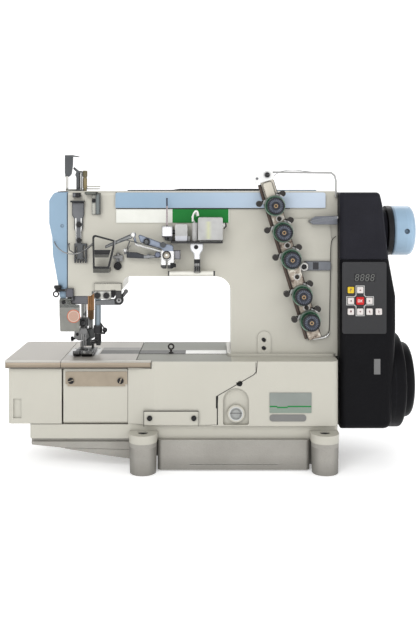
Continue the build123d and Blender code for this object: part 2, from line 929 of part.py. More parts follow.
def tension_post():
    """Leaning post: a channel with a side flange, and stand-offs to the arm."""
    half = post_width / 2
    post = prism_y(post_face(0, post_length, -half, half, 2), post_back - post_thickness, post_back)
    post += prism_y(post_face(0, post_length, -half, -half + 2, 0), post_back, post_back + 6)
    post += prism_y(post_face(2, post_length - 2, -half - 4.4, -half + 1, 0), post_back + 4, post_back + 6)
    for along in (48, 140, 214):
        x, y, z = on_post(along, 2)
        post += rod_y(x, post_back - 1, arm_front - (2.2 if along > 50 else 0), z, 4.2)
    front = post_back - post_thickness
    post += prism_y(post_face(1.5, 24, -7.5, 5.8, 3.5), front - 1.2, front)
    for before, after in zip(station_offsets, station_offsets[1:]):
        x, y, z = on_post((before + after) / 2, 1)
        post += pan_screw(x, front, z, 2.6, 1.5, post_thickness)
    for along in station_offsets:
        x, y, z = on_post(along, 0)
        post -= rod_y(x, post_back - 20, post_back + 20, z, tension_stud_r)
    return post


def tension_stacks():
    """At each station: stud, two dished discs and a coil spring cup behind the knob."""
    stacks = []
    front = post_back - post_thickness
    for along in station_offsets:
        x, y, z = on_post(along, 0)
        stack = rod_y(x, knob_front + 1.5, post_back + 2, z, tension_stud_r)
        stack += rod_y(x, post_back, post_back + 2, z, 5)
        half = profile(
            (tension_stud_r - 0.5, 0, 0),
            (12.5, 0, 0),
            (14.2, -1.6, 0),
            (14.2, -2.2, 0),
            (9, -1.4, 0),
            (tension_stud_r - 0.5, -1.4, 0),
        )
        disc = revolve(Plane.XZ * half, Axis.Z)
        for y, turn in ((front - 3.8, 90), (front - 5.6, -90)):
            stack += Pos(x, y, z) * Rot(turn, 0, 0) * disc
        stack += rod_y(x, front - 10.5, front, z, 4.2)
        stacks.append(stack)
    return stacks


def tension_knob(along):
    """Ribbed knob on its stud: rounded shoulder, dished face and a collar round the stud."""
    x, y, z = on_post(along, 0)
    half = profile(
        (tension_stud_r + RUN, 0, 0),
        (tension_stud_r + RUN, 12, 0),
        (5.2, 12, 0.8),
        (5.2, 10.6, 0),
        (knob_r - 2.6, 11.4, 0),
        (knob_r - 1.4, knob_length, 0.8),
        (knob_r, knob_length - 2, 1),
        (knob_r, 3, 0),
        (knob_r - 1.6, 0, 0),
    )
    knob = Pos(x, knob_front + knob_length, z) * Rot(90, 0, 0) * revolve(Plane.XZ * half, Axis.Z)
    for i in range(knob_ribs):
        a = radians(360 / knob_ribs * i)
        reach = knob_r + 0.5
        rib = rod_y(x + reach * cos(a), knob_front + 3, knob_front + knob_length + 1, z + reach * sin(a), 1.1)
        knob -= rib
    return knob


def thread_eyelets():
    """Black spool eyelets on short arms beside each station."""
    parts = []
    front = post_back - post_thickness
    for along in station_offsets:
        for across, up in ((-20.2, 9), (14.6, 13.2)):
            x, y, z = on_post(along - up, across)
            inner = -post_width / 2 + 3 if across < 0 else post_width / 2 - 3
            spool = rod_y(x, front - 11, front, z, 2.4)
            spool += rod_y(x, front - 11, front - 9.4, z, 4.3)
            spool += rod_y(x, front - 4.6, front - 3, z, 4.3)
            face = post_face(along - up - 2.6, along - up + 2.6, min(across, inner), max(across, inner), 0)
            arm = prism_y(face, front - 1.2, front)
            parts.append(spool + arm)
    return parts


def bent_wire(points, r):
    """Round wire through the points, with a ball at each bend."""
    wire = Part()
    for a, b in zip(points, points[1:]):
        va, vb = Vector(*a), Vector(*b)
        run = vb - va
        plane = Plane(origin=va, z_dir=run.normalized())
        wire += extrude(plane * Circle(r), run.length)
    for p in points[1:-1]:
        wire += Pos(*p) * Sphere(r)
    return wire


def thread_frame():
    """Plate on top of the post, and the wire frame that runs from it over the column."""
    half = post_width / 2
    front = post_back - post_thickness
    plate = prism_y(post_face(-14, 0, -half - 8, half + 2, 2), front, post_back)
    x, _, z = on_post(-8, 2.6)
    plate += pan_screw(x, front, z, 3.5, 1.5, post_thickness)
    wire_y = post_back + 1.4
    route = [
        (48, wire_y, 405),
        (136, wire_y, 404),
        (141, wire_y + 2, 400),
        (143, wire_y + 4, 393),
        (143, wire_y + 4, 371),
        (143, arm_front, 371),
    ]
    wire = bent_wire(route, 1.2)
    link = block(44, 50, post_back - post_thickness, post_back + 2.6, 397, 407)
    return plate + wire + link


def side_rail():
    """Sloping thread rail from the column's upper right to the front."""
    face = profile((105, 334.5, 1.5), (143, 341, 1.5), (143, 344.5, 1.5), (105, 338, 1.5))
    rail = prism_y(face, -62.5, arm_front - 2.2)
    return rail - block(108, 139, -59, -42, 330, 348)


def post_bracket():
    """Arm from the column's right edge that steadies the post, with a round collar."""
    y0, y1 = post_back + 6.2, arm_front - 2.2
    arm = block(97.9, 136.4, post_back + 6.2, arm_front - 2.2, 268, 281)
    arm = fillet(arm.edges().filter_by(Axis.Y), 3)
    collar = rod_y(97.9, y0 - 9, y1, 273.9, 6)
    collar = fillet(collar.edges().sort_by(Axis.Y)[0], 0.8)
    collar -= rod_y(97.9, y0 - 10, y0 - 6.5, 273.9, 3.4)
    return arm + collar


# Guides on the head and the arm

def head_guides():
    """Long thread guide plate with a comb at its foot, the L bracket beside it and the dark block above."""
    back = arm_front - guide_gap
    front = back - guide_thickness
    middle = guide_x
    face = profile(
        (middle - 8.5, guide_top, 0),
        (middle - 8.5, 345, 2),
        (middle - 5.4, 340, 0),
        (middle - 5.4, 326, 0),
        (middle - 3.6, 322, 0),
        (middle - 3.6, comb_top, 0),
        (middle - 5.4, comb_top, 0),
        (middle - 5.4, comb_bottom, 0),
        (middle + 12, comb_bottom, 0),
        (middle + 12, comb_top, 0),
        (middle + 4.5, comb_top, 0),
        (middle + 4.5, 322, 0),
        (middle + 6.3, 326, 0),
        (middle + 6.3, 340, 0),
        (middle + 8, 345, 2),
        (middle + 8, guide_top, 0),
    )
    plate = prism_y(face, front, back)
    plate += block(middle - 10, middle + 9, front - guide_flange, back, guide_top, guide_top + guide_thickness)
    plate -= block(middle - 3.4, middle - 1.8, front - 1, back + 1, comb_bottom + 7, comb_top - 4)
    plate -= block(middle + 7, middle + 9.6, front - 1, back + 1, comb_bottom + 7, comb_top - 3)
    for i in range(4):
        x = middle - 3.2 + i * comb_pitch
        plate -= block(x, x + comb_pitch / 2, front - 1, back + 1, comb_bottom - 1, comb_bottom + 5)
    for z, r in ((332, guide_screw_r), (309.8, guide_screw_r - 0.4)):
        plate += rod_y(middle + 1, back - 0.2, arm_front, z, r + 1)
        plate += pan_screw(middle + 1, front, z, r, 1.5, 1.0, 1.8)
    return [plate, l_bracket(), head_block()]


def l_bracket():
    """Bracket at the head's top: a pale plate with a screw, a folded dark leg and a bar that reaches left."""
    left, leg, right = -197.3, -191.0, -185.4
    plate = block(left, right, arm_front - 2.5, arm_front, 346, 376)
    fold = prism_y(profile(
        (leg, 346, 0),
        (right, 346, 2),
        (right, 377.5, 5),
        (leg, 377.5, 0),
    ), arm_front - 9, arm_front)
    bar = block(-206, leg + 1, arm_front - 12, arm_front, 374, 377.5)
    return plate + fold + bar + pan_screw(-194.6, arm_front - 2.5, 365.4, 2.6, 1.5, 1.0, 1.8)


def head_block():
    """Small dark stop at the top of the head's front."""
    stop = block(-223.5, -213, arm_front - 7, arm_front, 370, 376.4)
    return chamfer(stop.faces().sort_by(Axis.Y)[0].edges(), 0.8)


def take_up_guard():
    """Trapezoid guard before the take-up: rounded frame, deep middle band with a lip, and a foot bar."""
    y0, y1 = guard_front, guard_front + guard_thickness
    outer = profile(
        (-194.3, 319.6, 4),
        (-161.4, 310.6, 3),
        (-170.9, guard_foot, 1),
        (-193.4, guard_foot, 1),
    )
    inner = profile(
        (-191.7, 316.2, 2.5),
        (-165, 309.0, 2),
        (-172.9, guard_foot + 3.5, 1.5),
        (-190.9, guard_foot + 3.5, 1.5),
    )
    guard = prism_y(outer, y0, y1) - prism_y(inner, y0 - 1, y1 + 1)
    guard += prism_y(profile(
        (-191.8, 297.8, 0),
        (-191.6, 291.3, 0),
        (-170.6, 291.3, 0),
        (-168.8, 297.8, 0),
    ), y0 + 0.4, y1)
    guard += prism_y(profile(
        (-191.6, 291.6, 0),
        (-191.4, 287.4, 0),
        (-171.8, 287.4, 0),
        (-170.6, 291.6, 0),
    ), y0 - 2, y1)
    guard += block(-193, -171.2, y0 - 1.4, arm_front, guard_foot - 5.2, guard_foot + 0.4)
    return guard


def guard_wire():
    """Thin wire loop that guards the front of the head."""
    route = [
        (-229, arm_front, 305),
        (-229, -42, 305),
        (-227, -48, 297),
        (-218, -50, 291.5),
        (-203, -50, 297.6),
        (-197.5, -44, 303),
        (-197.5, arm_front, 303),
    ]
    return bent_wire(route, 0.8)


def head_screw():
    """Dark thumb screw low on the head's right side, with its small bracket."""
    screw = rod_y(-160.8, arm_front - 6, arm_front, 274.1, 4.7)
    return screw + block(-163, -158.8, arm_front - 3, arm_front, 270, 288)


def lubricator_bracket():
    """Base strip, pin block, spoon-shaped hanger and guide rod below the arm's front."""
    base = block(-86, -14.8, -60, arm_front, 306.9, 309.8)
    pin_block = block(-98.6, -84, -52, arm_front, 315, 330)
    pin_block += block(-89, -84, -52, -44, 309.8, 315)
    pin = rod_z(-91.9, -48, 330, 369, 1.2)
    knob = rod_x(-84, -80.5, -48, 322, 3)
    spoon = prism_y(
        profile(
            (-59.7, 306.9, 0),
            (-59.7, 298, 4),
            (-54.4, 292, 3),
            (-54.4, 268, 0),
            (-45.7, 268, 0),
            (-45.7, 292, 3),
            (-41.5, 298, 4),
            (-41.5, 306.9, 0),
        ),
        -53,
        -50.5,
    )
    for i in range(3):
        x = -53 + i * 2.6
        spoon -= block(x, x + 1.2, -54, -50, 267, 275)
    rod = rod_x(-90.4, -25.4, -46.5, 264.5, 3.5)
    hanger = block(-53.4, -46.7, -50.6, -44, 266, 279)
    foot = block(-53.4, -46.7, -46.6, arm_front, 268, 273)
    return [base + pin_block + pin + knob, spoon + hanger + rod + foot]


def lubricator_box():
    """Clear oil boxes that stand on the base strip: the large one, a low one and the clear neck between."""
    def box(x0, x1, z1, y0, y1):
        body = block(x0, x1, y0, y1, 309.8, z1)
        body = fillet(body.edges().filter_by(Axis.Y), 2)
        return body
    big = box(-48.6, -14.8, 342.4, -62, -38)
    low = box(-81.7 + 1.6, -63.5, 333, -58, -40)
    neck = rod_z(-52.7 - 0.4, -50, 309.8, 335, 4)
    hook = bent_wire([(-53.1, -50, 334), (-57.2, -50, 343), (-52.7, -50, 350.5), (-49.9, -50, 344)], 1.1)
    return [big, low, neck + hook]


# Take-up

def take_up_lever():
    """Take-up: slit clamp on its shaft, slanted plate, long light rod and two arms to the left."""
    x, z = takeup_x, takeup_z
    clamp = prism_y(
        profile(
            (x - 8.4, z + 9.4, 3),
            (x - 8.4, z - 16.6, 4),
            (x + 10.1, z - 16.6, 4),
            (x + 10.1, z + 9.4, 3),
        ),
        takeup_front,
        takeup_back,
    )
    clamp -= block(x - 0.7, x + 0.7, takeup_front - 1, takeup_back + 1, z - 17, z - 5)
    shaft = rod_y(x, takeup_front - 1, arm_front + 18, z, takeup_shaft_r)
    plate = prism_y(
        profile(
            (x - 40.4, z + 31.4, 2),
            (x - 36.4, z + 19.4, 2),
            (x - 8.4, z + 10, 0),
            (x + 9, z + 8, 0),
            (x + 9, z + 15.5, 4),
            (x - 8, z + 19, 2),
        ),
        takeup_front,
        takeup_front + 3,
    )
    y = takeup_front + 1.5
    rod = bent_wire([(x - 46, y, z + 30), (x - 42.4, y, z + 16.4), (x - 5, y + 0.3, z + 6.4)], 1.6)
    arms = prism_y(
        profile((x - 48, z + 31, 1), (x - 48, z + 25, 1), (x - 85.4, z + 11, 1), (x - 85.4, z + 14.4, 1)),
        takeup_front + 4,
        takeup_front + 6,
    )
    joint = rod_y(x - 46.4, takeup_front - 1, takeup_front + 6, z + 30, 3.6)
    nub = block(x + 10.1, x + 18.6, takeup_front + 1, takeup_back, z - 4, z + 8.4)
    screws = rod_y(x - 27.9, takeup_front - 2, takeup_front, z + 20.4, 3.9)
    screws += rod_x(x + 4, x + 12.4, -52, z - 12.6, 2.6)
    body = clamp + shaft + plate + rod + arms + joint + nub + screws
    return body


def wedge_bar():
    """Dark fixed bar under the take-up that swells at its left end, with its knurled nut and a small eyelet."""
    front, back = wedge_front, wedge_front + 3
    bar = prism_y(
        profile(
            (-148, 294.4, 1),
            (-148, 286.2, 1),
            (-123, 285, 2),
            (-100, 286.5, 1),
            (-100, 290.2, 1),
            (-122, 289.4, 3),
            (-134, 293.6, 3),
        ),
        front,
        back,
    )
    nut = rod_y(-104.6, front - 2.2, front + 0.2, 290.6, 4.2)
    for i in range(12):
        a = radians(30 * i)
        nut -= rod_y(-104.6 + 4.4 * cos(a), front - 3, front, 290.6 + 4.4 * sin(a), 0.5)
    bar += nut + rod_y(-118, front, arm_front, 288, 3)
    bar += rod_y(-149.9, front - 3, front + 3, 296.7, 2.6) + block(-151.4, -147, front, back, 291, 297)
    bar += bent_wire([(-148.2, front + 1, 296), (-145.6, front + 1, 304), (-143.8, front + 1, 309)], 0.8)
    return bar


# Above the head

def top_guard_plate():
    """Dark plate above the head that tapers to its rod, with a thin lip to the right and a foot block."""
    back = top_plate_y + 1
    face = profile(
        (-238.4, top_plate_top, 1),
        (-238.4, 405, 0),
        (-237.4, 397.2, 1),
        (-231, 399.8, 1),
        (-228.6, 403, 1),
        (-226.8, 416, 0),
        (-226.4, top_plate_top, 0),
    )
    plate = prism_y(face, top_plate_y - 1, back)
    lip = profile((-227.4, top_plate_top, 0), (-217.2, 427.8, 0), (-217.8, 426.6, 0), (-227.4, 427.4, 0))
    plate += prism_y(lip, top_plate_y - 8, back)
    plate += rod_z(-235.3, top_plate_y, arm_top + 0.4, 400, top_rod_r)
    foot = block(-236.6, -223.4, top_plate_y - 5, top_plate_y + 5, arm_top, arm_top + 2.4)
    return plate + chamfer(foot.edges().filter_by(Axis.Z), 2)


def pressure_regulator():
    """Thread post with an oblique tip, and beside it the regulator: brass column, dark knurled nut, two pins."""
    y = needle_y
    face = profile(
        (-223, arm_top, 0),
        (-223, 398, 0),
        (-224.6, 402, 0),
        (-223, 406, 0),
        (-227.6, 410.6, 0),
        (-226, 413, 0),
        (-219.6, 407.6, 0),
        (-215, 407.6, 1),
        (-215, arm_top, 0),
    )
    post = prism_y(face, y - 3, y + 3)
    post -= block(-219.4, -216.4, y - 4, y - 2, arm_top + 3, 405)
    post += block(-225.5, -214.4, y - 6, y + 6, arm_top, arm_top + 2.4)
    column = rod_z(regulator_x, y, arm_top, 400, regulator_r)
    column += rod_z(regulator_x, y, 383, 397, regulator_r + 0.5)
    nut = rod_z(regulator_x, y, 398.6, 408, regulator_nut_r)
    nut = chamfer(nut.edges().filter_by(GeomType.CIRCLE), 0.9)
    for i in range(12):
        a = radians(30 * i)
        nut -= rod_z(regulator_x + regulator_nut_r * cos(a), y + regulator_nut_r * sin(a), 398, 409, 0.4)
    pins = rod_x(regulator_x, -188.6, y - 1.6, 385.4, 0.8) + rod_x(regulator_x, -190, y + 1.6, 382, 0.8)
    return [column + nut + pins, post]


# Needle side: everything that moves

def needle_bar():
    """Needle bar, from the clamp up into the head."""
    return rod_z(needle_x, needle_y, clamp_bottom + 3, 340, needle_bar_r)


def needle_clamp():
    """Needle clamp with a narrow lower nose, its screw, and three needles."""
    half = clamp_width / 2
    top = clamp_bottom + clamp_height
    body = block(needle_x - half, needle_x + half, needle_y - 7, needle_y + 7, clamp_bottom + 5, top)
    body = chamfer(body.edges().filter_by(Axis.Z), 2)
    body += block(needle_x - 4.8, needle_x + 4.8, needle_y - 3.6, needle_y + 3.6, clamp_bottom, clamp_bottom + 5)
    body += rod_y(needle_x, needle_y - 9.5, needle_y - 6, clamp_bottom + 10, 2.6)
    body -= rod_z(needle_x, needle_y, clamp_bottom + 3, top + 1, needle_bar_r)
    for i in (-1, 0, 1):
        x = needle_x + i * needle_gauge
        body += rod_z(x, needle_y, needle_point + 3, clamp_bottom + 1, 0.6)
        body += Pos(x, needle_y, needle_point + 1.5) * Cone(0.15, 0.6, 3)
    return body


def presser_bar():
    """Presser bar."""
    return rod_z(presser_x, presser_y, 170, 340, presser_bar_r)


def presser_shank():
    """Shank clamped on the presser bar, with two ears for the sole's pin."""
    shank = block(-226, -199, 2, 13, 166, 180)
    shank = chamfer(shank.edges().filter_by(Axis.Y), 2)
    shank += block(-216, -204, 2, 13, 155.4, 167)
    shank -= rod_z(presser_x, presser_y, 170, 181, presser_bar_r)
    return shank - rod_x(-217, -203, 8, 158, 1.5)


def presser_foot():
    """Sole with an upturned toe, a needle opening and two ears on a pin."""
    side = profile(
        (-47, sole_bottom + 4, 0),
        (-43, sole_bottom, 3),
        (12, sole_bottom, 1),
        (12, sole_bottom + sole_thickness, 1),
        (-41, sole_bottom + sole_thickness, 2),
        (-46.4, sole_bottom + 7.4, 0),
    )
    sole = prism_x(side, -222.5, -195.7)
    sole -= block(needle_x - 6.4, needle_x + 6.4, needle_y - 5, needle_y + 5, 140, 170)
    sole -= block(needle_x - 1.2, needle_x + 1.2, -50, -20, 140, 170)
    for x0 in (-219.6, -203.6):
        ear = block(x0, x0 + 3.2, 4.5, 11.5, sole_bottom + 1, 158) + rod_x(x0, x0 + 3.2, 8, 158, 3.5)
        sole += ear
    return sole + rod_x(-219, -201, 8, 158, 1.5 - RUN)


def presser_bush():
    """Brass bush that guides the presser bar below the head."""
    return rod_z(presser_x, presser_y, 206, nose_bottom, bush_r) - rod_z(
        presser_x, presser_y, 205, nose_bottom + 1, presser_bar_r + RUN
    )


def spreader():
    """Spreader shaft with its dark collar, a ball arm to the right and the thread hook below."""
    body = rod_z(spreader_x, needle_y, 166, 296, spreader_r)
    body += rod_z(spreader_x, needle_y, 176, 187, 6.2) + rod_z(spreader_x, needle_y, 161.2, 177, 4.8)
    body += block(spreader_x - 10, spreader_x + 4, needle_y - 3.4, needle_y + 3.4, 161.2, 164)
    body += block(spreader_x - 2, spreader_x + 4, needle_y - 3.4, needle_y + 3.4, 158.8, 163)
    body += bent_wire([(spreader_x, needle_y, 176), (-183, needle_y - 2, 176), (-182.3, needle_y - 2, 180)], 1.4)
    body += Pos(-182.3, needle_y - 2, 180.6) * Sphere(3.6)
    hook = prism_z(
        profile(
            (spreader_x - 3, needle_y, 0),
            (spreader_x - 6, needle_y - 9, 2),
            (spreader_x - 8.4, needle_y - 15, 0),
            (spreader_x - 1, needle_y - 10, 3),
            (spreader_x + 3, needle_y, 0),
        ),
        166,
        168,
    )
    return body + hook


def lifter_bracket():
    """Fixed plate under the head that carries the lifter, with two dark screws."""
    plate = block(-194, -170.4, arm_front - 3, arm_front, 228, 250)
    for x in (-189.5, -177):
        plate += rod_y(x, arm_front - 5.5, arm_front - 3, 233, 3.9)
    plate += block(-172, -155.8, arm_front - 3, arm_front - 0.2, 240.2, 250)
    plate += block(-164, -155.8, arm_front - 3, arm_front, 229, 250)
    return plate


def lifter_lever():
    """Lifter lever: flat arm to the presser side, hub and short handle."""
    y0, y1 = arm_front + 0.6, arm_front + 7
    hub = rod_y(lifter_x, y0, y1, lifter_z, 6.4)
    arm = prism_y(
        profile((-193, 225, 1), (-193, 219, 1), (lifter_x, 219.4, 0), (lifter_x, 228, 0)), y0, y1
    )
    handle = bent_wire([(lifter_x, (y0 + y1) / 2, lifter_z), (-150.5, (y0 + y1) / 2, 237)], 2.4)
    handle += Pos(-150.2, (y0 + y1) / 2, 238) * Sphere(3)
    return hub + arm + handle


def finger_guard():
    """Clear finger guard, hinged on its screw."""
    face = profile(
        (-242.6, 217, 3),
        (-242.6, 227.4, 1),
        (-226.2, 227.4, 0),
        (-226.2, 213, 0),
        (-213.9, 213, 0),
        (-213.9, 182.6, 2),
        (-226, 182.6, 6),
    )
    guard = prism_y(face, -38.5, -36.5)
    return guard + rod_x(-242, -226.2, -37.5, 227.4, 1.8)


def guard_bracket():
    """Grey bracket that holds the finger guard's pin under the head's left end, with its crowned thumb knob."""
    bracket = block(-233, -222.7, -42, arm_front, 231, 243)
    bracket += rod_x(-225.6, -222.7, -37.5, 227.4, 1.8) + block(-225.6, -222.7, -39.5, arm_front, 226, 232)
    bracket += block(-232, -203.5, arm_front, arm_front + 3, 220.5, nose_bottom)
    y = thumb_knob_y
    knob = rod_z(thumb_knob_x, y, 242.8, 247.4, 5.4)
    knob = chamfer(knob.edges().filter_by(GeomType.CIRCLE), 0.8)
    crown = rod_z(thumb_knob_x, y, 238.6, 243, 3.6)
    for i in range(8):
        a = radians(45 * i)
        crown -= rod_z(thumb_knob_x + 4 * cos(a), y + 4 * sin(a), 238, 242.9, 0.9)
    stem = rod_x(thumb_knob_x, -232, y, 240.6, 1.8)
    ring = Pos(thumb_knob_x - 2.6, y, 235.2) * Rot(90, 0, 0) * Torus(3.6, 1.0)
    return bracket + knob + crown + stem + ring


def looper():
    """Looper rocker: shaft from the rear wall, an upright arm and a curved blade under the needles."""
    body = rod_y(looper_x, -22, bed_back - 4, looper_z, looper_shaft_r)
    arm = prism_y(
        profile(
            (looper_x - 9, looper_z, 6),
            (looper_x - 5, 127, 2),
            (looper_x + 6, 127, 2),
            (looper_x + 9, looper_z, 6),
            (looper_x, looper_z - 9, 6),
        ),
        -22,
        -12,
    )
    blade = prism_y(
        profile(
            (looper_x - 4, 131, 2),
            (looper_x - 16, 130.4, 0),
            (looper_x - 25, 128.6, 0),
            (looper_x - 16, 127.2, 0),
            (looper_x - 4, 125, 2),
            (looper_x + 5, 125, 1),
            (looper_x + 5, 131, 1),
        ),
        -15,
        -12.4,
    )
    return body + arm + blade


def feed_dog():
    """Feed dog: two toothed runners on a bar that slides through the rear wall."""
    body = block(needle_x - 3.5, needle_x + 3.5, 10, bed_back - 1, 128, 136)
    body += block(needle_x - 9.6, needle_x + 9.6, 10, 14, 128, 141)
    for x in feed_rows():
        body += block(x - 2, x + 2, -22, 14, 138, plate_top - 0.6)
        for i in range(16):
            y = -21.6 + i * 2.2
            tooth = profile(
                (y, plate_top - 0.7, 0),
                (y + 2.2, plate_top - 0.7, 0),
                (y + 1.1, plate_top + 0.5, 0),
            )
            body += prism_x(tooth, x - 2, x + 2)
    return body


def write(name, shapes):
    """Write one node, of one solid or of several like ones."""
    shapes = shapes if isinstance(shapes, list) else [shapes]
    solids = [s for shape in shapes for s in shape.solids()]
    made = solids[0] if len(solids) == 1 else Compound(children=solids)
    export_step(made, f"parts/{name}.step")


def main():
    os.makedirs("parts", exist_ok=True)
    nodes = {
        "machine_feet": machine_feet(),
        "fixing_screws": foot_bolts() + inspection_screws(),
        "oil_reservoir": oil_reservoir(),
        "bed_casting": bed_casting(),
        "bed_front_plate": bed_front_plate(),
        "inspection_cover": inspection_cover(),
        "oil_gauge": oil_gauge(),
        "blank_plates": blank_plates() + [level_window()],
        "cloth_plate": cloth_plate(),
        "needle_plate": needle_plate(),
        "slide_strips": slide_strips(),
        "front_cover": front_cover(),
        "front_cover_plate": front_cover_plate(),
        "cover_hinges": hinge_brackets() + [door_pin()],
        "side_cover": side_cover(),
        "swing_plate": swing_plate(),
        "arm_casting": arm_casting(),
        "face_cover": face_cover(),
        "column_cover": column_cover(),
        "top_covers": [top_cover(), rear_cover()],
        "motor_housing": motor_housing(),
        "motor_cover": motor_cover(),
        "motor_end_cap": motor_end_cap(),
        "upper_shaft": upper_shaft(),
        "handwheel": handwheel(),
        "control_panel": control_panel(),
        "tension_post": [tension_post(), post_bracket()],
        "tension_stacks": tension_stacks(),
        "thread_eyelets": thread_eyelets() + [eye_screw()],
        "thread_frame": [thread_frame(), side_rail()],
        "head_guides": head_guides(),
        "take_up_guard": [take_up_guard(), guard_wire(), head_screw()],
        "lubricator_box": lubricator_box(),
        "arm_brackets": lubricator_bracket() + [wedge_bar()],
        "head_posts": [top_guard_plate()] + pressure_regulator(),
        "take_up_lever": take_up_lever(),
        "needle_bar": needle_bar(),
        "needle_clamp": needle_clamp(),
        "presser_bar": [presser_bar(), presser_shank()],
        "presser_foot": presser_foot(),
        "spreader": spreader(),
        "head_brackets": [presser_bush(), lifter_bracket(), guard_bracket()],
        "lifter_lever": lifter_lever(),
        "finger_guard": finger_guard(),
        "looper": looper(),
        "feed_dog": feed_dog(),
    }
    for i, along in enumerate(station_offsets, 1):
        nodes[f"tension_knob_{i}"] = tension_knob(along)
    for name, (x, z, size) in key_places().items():
        nodes[name] = key(x, z, size)
    for name, shapes in nodes.items():
        write(name, shapes)


main()
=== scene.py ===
"""Looks of a flat-bed coverstitch machine: finishes for its solids, small pieces and a plain studio."""

import json
import math
import bmesh
import bpy
from bpy.props import FloatProperty, FloatVectorProperty, IntProperty, PointerProperty
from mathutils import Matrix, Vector


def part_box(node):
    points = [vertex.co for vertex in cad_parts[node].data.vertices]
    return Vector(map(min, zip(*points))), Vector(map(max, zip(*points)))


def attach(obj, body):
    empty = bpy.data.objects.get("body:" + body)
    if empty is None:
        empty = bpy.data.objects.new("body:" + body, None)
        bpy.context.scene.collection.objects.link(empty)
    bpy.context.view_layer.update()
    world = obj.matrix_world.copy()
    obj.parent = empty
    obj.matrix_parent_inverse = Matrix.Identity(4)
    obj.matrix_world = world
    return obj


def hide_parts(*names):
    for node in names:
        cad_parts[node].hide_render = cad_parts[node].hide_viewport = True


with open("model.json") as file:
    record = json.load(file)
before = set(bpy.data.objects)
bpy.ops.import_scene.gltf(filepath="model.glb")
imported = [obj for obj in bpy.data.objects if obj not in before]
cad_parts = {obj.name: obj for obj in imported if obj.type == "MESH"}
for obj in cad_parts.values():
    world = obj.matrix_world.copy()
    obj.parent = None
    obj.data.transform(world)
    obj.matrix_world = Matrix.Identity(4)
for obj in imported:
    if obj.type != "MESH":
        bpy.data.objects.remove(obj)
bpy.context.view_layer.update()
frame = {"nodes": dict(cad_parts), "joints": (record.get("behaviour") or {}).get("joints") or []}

bl_info = {
    "name": "Coverstitch Machine",
    "version": (1, 0, 0),
    "blender": (4, 5, 0),
    "location": "3D View > Sidebar > Coverstitch",
    "description": "Finishes, trim and studio of a flat-bed coverstitch machine",
    "category": "Object",
}

MM = 0.001

# How strongly clear acrylic bends light
PLASTIC_IOR = 1.49

# Edges at least this sharp stay sharp: on added pieces, and on the CAD solids
PIECE_CREASE = math.radians(32)
SOLID_CREASE = math.radians(28)

# Where the feet stand to each side of the middle, in metres
FOOT_X = 0.1225

# Top of the tension post in X and Z, in millimetres, and how far it leans
POST_TOP = (46.6, 392.6)
POST_LEAN = math.radians(17.0)

# The photo's view: its height, focal length and horizon in its own rows, and the sensor in millimetres
PHOTO_HEIGHT = 630
FOCAL_LENGTH = 852
HORIZON_ROW = 193
SENSOR_HEIGHT = 36.0

# The camera's place from side to side, and the bed's front edge, in metres
CAMERA_X = -0.0323
BED_FRONT = -0.0775


# Shader maths

class Value:
    """A socket of a node tree. Arithmetic on it adds Math nodes."""

    def __init__(self, graph, socket):
        self.graph = graph
        self.socket = socket

    def _math(self, operation, *values):
        node = self.graph.node("ShaderNodeMath", {"operation": operation}, dict(enumerate(values)))
        return Value(self.graph, node.outputs[0])

    def __add__(self, other):
        return self._math("ADD", self, other)

    __radd__ = __add__

    def __mul__(self, other):
        return self._math("MULTIPLY", self, other)

    __rmul__ = __mul__

    def __sub__(self, other):
        return self._math("SUBTRACT", self, other)

    def __rsub__(self, other):
        return self._math("SUBTRACT", other, self)

    def __truediv__(self, other):
        return self._math("DIVIDE", self, other)

    def __rtruediv__(self, other):
        return self._math("DIVIDE", other, self)

    def __pow__(self, other):
        return self._math("POWER", self, other)

    def __gt__(self, other):
        return self._math("GREATER_THAN", self, other)

    def __lt__(self, other):
        return self._math("LESS_THAN", self, other)

    def __abs__(self):
        return self._math("ABSOLUTE", self)

    def sine(self):
        return self._math("SINE", self)

    def smaller(self, other):
        return self._math("MINIMUM", self, other)

    def clamped(self):
        return self._math("MINIMUM", self._math("MAXIMUM", self, 0.0), 1.0)


